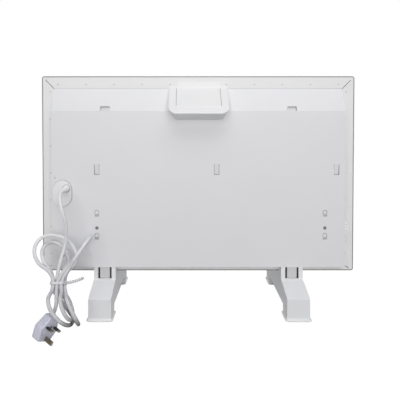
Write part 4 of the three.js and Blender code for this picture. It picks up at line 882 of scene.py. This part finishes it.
def end_tree(tree, copies, finish):
    """Makes a tree's copies one mesh, with their finish."""
    whole = node(tree, "GeometryNodeRealizeInstances", Geometry=copies)
    painted = node(tree, "GeometryNodeSetMaterial", Geometry=whole, Material=FINISHES[finish])
    node(tree, "NodeGroupOutput", Geometry=painted)
    return tree


def copies_on(tree, points, shape, turn):
    return node(tree, "GeometryNodeInstanceOnPoints", Points=points, Instance=shape, Rotation=turn)


ROW_SIZES = (
    ("Count", "Int", 5), ("Start", "Vector", (0, 0, 0)), ("Step", "Vector", (0, 0, 0.003)),
    ("Turn", "Vector", (0, 0, 0)),
)


def row_of(tree, given, shape):
    """Copies of a shape along a line."""
    count, start, step, turn = (given[size[0]] for size in ROW_SIZES)
    line = node(tree, "GeometryNodeMeshLine", Count=count, Start_Location=start, Offset=step)
    return copies_on(tree, line, shape, turn)


def boss_row_tree(name, finish):
    """A tree that sets small turned bosses along a line."""
    tree, given = new_tree(name, (
        *ROW_SIZES, ("Foot radius", "Float", 0.002), ("Top radius", "Float", 0.001),
        ("Height", "Float", 0.001), ("Sides", "Int", 16),
    ))
    boss = node(
        tree, "GeometryNodeMeshCone", Vertices=given["Sides"], Radius_Top=given["Top radius"],
        Radius_Bottom=given["Foot radius"], Depth=given["Height"],
    )
    return end_tree(tree, row_of(tree, given, boss), finish)


def bar_row_tree(name, finish):
    """A tree that sets bars along a line."""
    tree, given = new_tree(name, (*ROW_SIZES, ("Bar", "Vector", (0.001, 0.001, 0.01))))
    return end_tree(tree, row_of(tree, given, node(tree, "GeometryNodeMeshCube", Size=given["Bar"])), finish)


def bar_ring_tree(name, finish):
    """A tree that sets short bars round a circle, each pointing to its middle."""
    tree, given = new_tree(name, (
        ("Count", "Int", 12), ("Reach", "Float", 0.015), ("Bar", "Vector", (0.0007, 0.003, 0.0004)),
        ("Place", "Vector", (0, 0, 0)), ("Turn", "Vector", (math.pi / 2, 0, 0)),
    ))
    ring = node(tree, "GeometryNodeMeshCircle", Vertices=given["Count"], Radius=given["Reach"])
    bar = node(tree, "GeometryNodeMeshCube", Size=given["Bar"])
    outward = node(tree, "FunctionNodeAlignRotationToVector", Vector=node(tree, "GeometryNodeInputPosition"))
    outward.axis = "Y"
    outward.pivot_axis = "Z"
    copies = copies_on(tree, ring, bar, outward)
    place, turn = given["Place"], given["Turn"]
    placed = node(tree, "GeometryNodeTransform", Geometry=copies, Translation=place, Rotation=turn)
    return end_tree(tree, placed, finish)


def grown(name, tree, body="heater", slot=None, **sizes):
    """Runs a tree with the given sizes and keeps its result as a plain mesh."""
    holder = new_object(name + "_seed", bpy.data.meshes.new(name + "_seed"))
    modifier = holder.modifiers.new("grow", "NODES")
    modifier.node_group = tree
    known = {item.name: item.identifier for item in tree.interface.items_tree if item.in_out == "INPUT"}
    for label, value in sizes.items():
        modifier[known[label.replace("_", " ")]] = value
    return add_piece(name, plain_mesh(holder), None, body)


SPOT_TOP = (350.2, 552.4, 11)  # reach to each side, height, how many
SPOT_SIDE = (369.2, 534.2, 128.2, 7)  # reach, highest, lowest, how many
SPOT_DEPTH = FLANGE_BACK - 0.1
SPOT_TURN = (math.pi / 2, 0, 0)
SPOT_SIZES = {"Foot_radius": 1.9 * MM, "Top_radius": 1.1 * MM, "Height": 0.5 * MM, "Sides": 18}


def make_spots():
    """The marks that spot welds leave along the flange."""
    reach, height, count = SPOT_TOP
    rows = {"spots_top": ((-reach, height), (2 * reach / (count - 1), 0), count)}
    reach, high, low, count = SPOT_SIDE
    for name, side in (("spots_left", -1), ("spots_right", 1)):
        rows[name] = ((side * reach, high), (0, (low - high) / (count - 1)), count)
    tree = boss_row_tree("spot_marks", "spot_paint")
    for name, (start, step, count) in rows.items():
        grown(
            name, tree, slot="painted_steel", Count=count, Turn=SPOT_TURN, **SPOT_SIZES,
            Start=metres(start[0], SPOT_DEPTH, start[1]), Step=metres(step[0], 0, step[1]),
        )


make_spots()


# Screws with a cross recess

# Shares of the head's radius and height
HEAD_SHARES = [(0.98, 0), (1, 0.35), (0.92, 0.7), (0.7, 0.93), (0.35, 1), (0.02, 1)]
HEAD_SIDES = 28
CROSS_LENGTH_SHARE = 1.15  # of the radius, like the next
CROSS_WIDTH_SHARE = 0.26
CROSS_DEPTH_SHARE = 1.3  # of the height, half of it above the head
CROSS_TURN = 12


def cross_cutter(name, base, radius, height):
    cross = bmesh.new()
    raised_base = base @ Matrix.Translation((0, 0, height))
    for turn in (0, 90):
        placed = raised_base @ Matrix.Rotation(math.radians(turn + CROSS_TURN), 4, "Z")
        size = (radius * CROSS_LENGTH_SHARE, radius * CROSS_WIDTH_SHARE, height * CROSS_DEPTH_SHARE, 1)
        matrix = Matrix.Diagonal((MM, MM, MM, 1)) @ placed @ Matrix.Diagonal(size)
        bmesh.ops.create_cube(cross, size=1, matrix=matrix)
    mesh = bpy.data.meshes.new(name + "_cross")
    cross.to_mesh(mesh)
    cross.free()
    return new_object(name + "_cross", mesh)


def screw_head(name, base, radius, height, finish, replaced=None):
    """A pan head that stands on its base's XY plane, with a cross cut into it."""
    profile = [(radius * out, height * up) for out, up in HEAD_SHARES]
    head = new_object(name, mesh_of(name, turned(profile, HEAD_SIDES), base))
    cutter = cross_cutter(name, base, radius, height)
    recess = head.modifiers.new("recess", "BOOLEAN")
    recess.operation = "DIFFERENCE"
    recess.solver = "EXACT"
    recess.use_self = True
    recess.object = cutter
    mesh = plain_mesh(head)
    bpy.data.objects.remove(cutter)
    piece = add_piece(name, mesh, finish)
    if replaced:
        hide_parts(replaced)
    return piece


GRIP_COUNT = 5
GRIP_BAR = (1.6, 1.1, 12)
GRIP_STEP = 3.4
PLUG_SCREW = (3.2, 0.9)  # radius and height
PLUG_SCREW_SINK = 0.2


def make_plug_details():
    """The plug's finger ridges, and the screw between its pins."""
    tree = bar_row_tree("plug_grips", "plug_plastic")
    pieces = []
    for side, name in ((-1, "plug_grips_left"), (1, "plug_grips_right")):
        low, high = (Vector((side * x, y, 0)) for x, y in PLUG_CORNERS[2:4])
        along = (high - low).normalized()
        turn = PLUG.to_3x3() @ Matrix((along.cross(Vector((0, 0, 1))), along, (0, 0, 1))).transposed()
        first = PLUG @ ((low + high) / 2 - along * GRIP_STEP * (GRIP_COUNT - 1) / 2)
        step = PLUG.to_3x3() @ along * GRIP_STEP
        pieces.append(grown(
            name, tree, slot="plug_plastic", Count=GRIP_COUNT, Start=metres(*first), Step=metres(*step),
            Turn=list(turn.to_euler()), Bar=metres(*GRIP_BAR),
        ))
    base = PLUG @ Matrix.Translation((0, PIN_ROW, PLUG_FACE - PLUG_SCREW_SINK))
    pieces.append(screw_head("plug_screw", base, *PLUG_SCREW, "dark_steel"))
    return pieces


plug_pieces += make_plug_details()

COVER_BACK = -56
SCREW_SINK = 0.1
# Each cover screw's place, its head's radius and height, its finish, and the plain screw that it replaces
COVER_SCREWS = {
    "screw_upper": ((-351, COVER_BACK - SCREW_SINK, 323.4), 2.7, 1.4, "zinc_plate", "cover_screw_upper"),
    "screw_lower": ((-331.2, COVER_BACK - SCREW_SINK, 132), 3, 1.4, "blacked_steel", "cover_screw_lower"),
}
for screw_name, (screw_place, *screw) in COVER_SCREWS.items():
    screw_head(screw_name, facing_back(screw_place), *screw)


# Painted shade: dark rings and strips put in the seams and gaps that sheet metal and mouldings leave, where
# shade falls

PLATE_MIDDLE = (-332.7, 285.6)
PLATE_SIZE = (46, 63.4)
PLATE_SIDES = 48
PLATE_SHADE_GROWS = (-0.6, 2)  # its inner and outer outline beyond the plate's, across
PLATE_SHADE_SPAN = (COVER_BACK - 0.75, COVER_BACK - 0.05)
GLAND_MIDDLE = (-322, 297.3)
GLAND_SHADE_RADII = (8, 9.8)
GLAND_SHADE_SIDES = 32
PLATE_REAR = -59.3
GLAND_SHADE_SPAN = (PLATE_REAR - 0.4, PLATE_REAR - 0.05)


def stadium_outline(width, height):
    """An upright stadium's outline, anticlockwise."""
    radius, reach = width / 2, (height - width) / 2
    outline = []
    for step in range(PLATE_SIDES):
        angle = TURN * (step + 0.5) / PLATE_SIDES
        rise = math.sin(angle)
        outline.append((radius * math.cos(angle), radius * rise + math.copysign(reach, rise)))
    return outline


def make_seam_shade(name, middle, outlines, span):
    """A flat dark ring of painted shade between an inner and an outer outline in X and Z, from rear to front.
    """
    (inner, outer), (rear, front) = outlines, span
    rings = [
        [(middle[0] + x, depth, middle[1] + z) for x, z in outline]
        for outline, depth in ((inner, rear), (outer, rear), (outer, front), (inner, front))
    ]
    add_shape(name, lofted(rings, closed=True), "seam_shade")


def make_seam_shades():
    width, height = PLATE_SIZE
    outlines = [stadium_outline(width + grows, height + grows) for grows in PLATE_SHADE_GROWS]
    make_seam_shade("plate_seam_shade", PLATE_MIDDLE, outlines, PLATE_SHADE_SPAN)
    outlines = [circle(radius, GLAND_SHADE_SIDES) for radius in GLAND_SHADE_RADII]
    make_seam_shade("gland_seam_shade", GLAND_MIDDLE, outlines, GLAND_SHADE_SPAN)


MITRE_INNER = (360.1, 542.2, 97.4)  # reach to each side, top and bottom, like the next
MITRE_OUTER = (390, 573, 85)
MITRE_SHARE = 0.68  # of the way to the corner
MITRE_HALF = 0.62  # half its width
MITRE_TAPER_SHARE = 0.6
MITRE_SPAN = (FLANGE_BACK + 0.3, FLANGE_BACK + 1.1)


def make_mitre_shades():
    """Painted shade: dark strips in the slits at the flange's corners, where the slits fall into shade,
    joined in one piece.
    """
    strips = []
    for side in (-1, 1):
        for inner_z, outer_z in zip(MITRE_INNER[1:], MITRE_OUTER[1:]):
            start = Vector((side * MITRE_INNER[0], 0, inner_z))
            whole = Vector((side * MITRE_OUTER[0], 0, outer_z)) - start
            end = start + whole * MITRE_SHARE
            wide = Vector((-whole.z, 0, whole.x)).normalized() * MITRE_HALF
            narrow = wide * MITRE_TAPER_SHARE
            ring = [start - wide, end - narrow, end + narrow, start + wide]
            strips.append(lofted([[(corner.x, depth, corner.z) for corner in ring] for depth in MITRE_SPAN]))
    add_shape("mitre_gap_shades", joined(strips), "shadow_gap", smooth=False)


LID_HALF = 53.5
LID_GAP = 0.8
LID_FOOT = (-83.4, 498.6)  # the slope's face beside the hinge, in Y and Z
LID_SPAN = (1.5, 43.5)  # from there to the gap's ends, along Y and Z alike
GAP_SHADE_CLEARANCE = 0.06
GAP_SHADE_DEPTHS = (-0.05, 0.9)  # below the slope's face
SLOPE_SHARE = 0.707  # of a depth below the slope, along Y and Z


def make_lid_gap_shades():
    """Painted shade: dark strips in the gaps at the lid's sides, where shade falls."""
    high, deep = GAP_SHADE_DEPTHS
    for side, name in ((-1, "lid_gap_shade_left"), (1, "lid_gap_shade_right")):
        inner, outer = side * (LID_HALF + GAP_SHADE_CLEARANCE), side * (LID_HALF + LID_GAP - GAP_SHADE_CLEARANCE)
        rings = []
        for rise in LID_SPAN:
            y, z = LID_FOOT[0] + rise, LID_FOOT[1] + rise
            section = [(inner, high), (outer, high), (outer, deep), (inner, deep)]
            rings.append([(x, y + sink * SLOPE_SHARE, z - sink * SLOPE_SHARE) for x, sink in section])
        add_shape(name, lofted(rings), "shadow_gap", smooth=False)


FOOT_MIDDLE = 229.5
FORK_GAP = (12.0, 16.3)  # beside the latch, from the foot's middle
FORK_SHADE_SPAN = (-54.2, -53.2)  # from rear to front
FORK_SHADE_HEIGHTS = (75.4, 102.4)


def make_fork_shades():
    """Painted shade: dark strips in the gaps beside the latches, two in each foot, where shade falls."""
    rear, front = FORK_SHADE_SPAN
    for middle, name in ((-FOOT_MIDDLE, "fork_shade_left"), (FOOT_MIDDLE, "fork_shade_right")):
        strips = []
        for side in (-1, 1):
            near, far = (middle + side * reach for reach in FORK_GAP)
            section = [(near, rear), (far, rear), (far, front), (near, front)]
            strips.append(lofted([[(x, y, height) for x, y in section] for height in FORK_SHADE_HEIGHTS]))
        add_shape(name, joined(strips), "shadow_gap", smooth=False)


BRACKET_SCREW = (3.8, 1.1)  # radius and height
BRACKET_SCREW_Y = -54.6
BRACKET_SCREW_Z = 199.8
BRACKET_COLUMNS = {"bracket_screw_left": -248.7, "bracket_screw_right": 309.6}

make_seam_shades()
make_mitre_shades()
make_lid_gap_shades()
make_fork_shades()
for screw_name, column in BRACKET_COLUMNS.items():
    place = facing_back((column, BRACKET_SCREW_Y, BRACKET_SCREW_Z))
    screw_head(screw_name, place, *BRACKET_SCREW, "dark_steel")


# Marks on the controls

BUTTON_DOTS = {"button_power": (-28, 1), "button_heat": (0, 2), "button_timer": (28, 3)}  # X, and how many
DOT_FACE = (-66.314, 509.846)  # just proud of the buttons' faces, in Y and Z
DOT_PITCH = 2.6
DOT_TURN = (math.pi / 4, 0, 0)
DOT_SIZES = {"Foot_radius": 0.8 * MM, "Top_radius": 0.6 * MM, "Height": 0.5 * MM, "Sides": 12}
DIAL_MIDDLE = (351.5, -50.5, 199.2)
DIAL_TICKS = 12
DIAL_REACH = 15.5
TICK_SIZE = (0.7, 3.2, 0.4)


def make_control_marks():
    dots = boss_row_tree("button_dots", "mark_ink")
    for body, (x, count) in BUTTON_DOTS.items():
        grown(
            body + "_dots", dots, body, Count=count, Turn=DOT_TURN, **DOT_SIZES,
            Start=metres(x - (count - 1) / 2 * DOT_PITCH, *DOT_FACE), Step=metres(DOT_PITCH, 0, 0),
        )
    ticks = bar_ring_tree("dial_ticks", "mark_ink")
    grown(
        "dial_ticks", ticks, "thermostat_dial", Count=DIAL_TICKS, Reach=DIAL_REACH * MM,
        Bar=metres(*TICK_SIZE), Place=metres(*DIAL_MIDDLE),
    )


make_control_marks()


# Floor, lamps and room

FLOOR_REACH = 6
FLOOR_GREY = 0.38
FLOOR_GLOW = 1.16
GLOW_SHARE = 0.86
WHITE = (1, 1, 1, 1)
ROOM_COLOUR = (0.95, 0.95, 1.0, 1)
ROOM_STRENGTH = 0.12
# Each lamp's place, what it is turned to, its width and height, and its power
LAMPS = {
    "key": ((0, -3.2, 1.25), (0, 0, 0.35), (3.2, 2), 60),
    "overhead": ((0.1, -1.3, 2.6), (0, 0, 0.4), (2.6, 1.2), 29),
    "front_fill": ((0, 3.4, 2.2), (0, 0, 0.35), (1.2, 1.6), 105),
}


def end_shaders(tree, factor, first, second, end_kind):
    """Gives a tree the first shader where the factor is 0 and the second where it is 1."""
    mix = tree.nodes.new("ShaderNodeMixShader")
    for socket, value in zip(mix.inputs, (factor, first, second)):
        feed(tree, socket, value)
    node(tree, end_kind, Surface=mix)


def pale_floor():
    """A finish that the camera sees as white but for the shadow on it."""
    made = bpy.data.materials.new("floor_pale")
    made.use_nodes = True
    tree = made.node_tree
    tree.nodes.clear()
    plain = node(tree, "ShaderNodeBsdfDiffuse", Color=(FLOOR_GREY, FLOOR_GREY, FLOOR_GREY, 1))
    glow = node(tree, "ShaderNodeEmission", Color=WHITE, Strength=FLOOR_GLOW)
    ray = tree.nodes.new("ShaderNodeLightPath")
    seen = maths(tree, "MAXIMUM", ray.outputs["Is Camera Ray"], ray.outputs["Is Glossy Ray"])
    end_shaders(tree, maths(tree, "MULTIPLY", seen, GLOW_SHARE), plain, glow, "ShaderNodeOutputMaterial")
    return made


def make_floor():
    mesh = bpy.data.meshes.new("floor")
    mesh.from_pydata([(x * FLOOR_REACH, y * FLOOR_REACH, 0) for x, y in SQUARE], [], [(0, 1, 2, 3)])
    mesh.materials.append(pale_floor())
    floor = new_object("floor", mesh)


def make_lamps():
    for name, (place, target, size, power) in LAMPS.items():
        data = bpy.data.lights.new(name, "AREA")
        data.shape = "RECTANGLE"
        data.size, data.size_y = size
        data.energy = power
        light = new_object(name, data)
        light.location = place
        light.rotation_euler = (Vector(target) - Vector(place)).to_track_quat("-Z", "Y").to_euler()


def make_room():
    world = bpy.data.worlds.new("room")
    world.use_nodes = True
    tree = world.node_tree
    tree.nodes.clear()
    ray = tree.nodes.new("ShaderNodeLightPath")
    room = node(tree, "ShaderNodeBackground", Color=ROOM_COLOUR, Strength=ROOM_STRENGTH)
    white = node(tree, "ShaderNodeBackground", Color=WHITE, Strength=1.0)
    end_shaders(tree, ray.outputs["Is Camera Ray"], room, white, "ShaderNodeOutputWorld")
    bpy.context.scene.world = world


make_floor()
make_lamps()
make_room()
bpy.context.scene.view_settings.view_transform = "Standard"
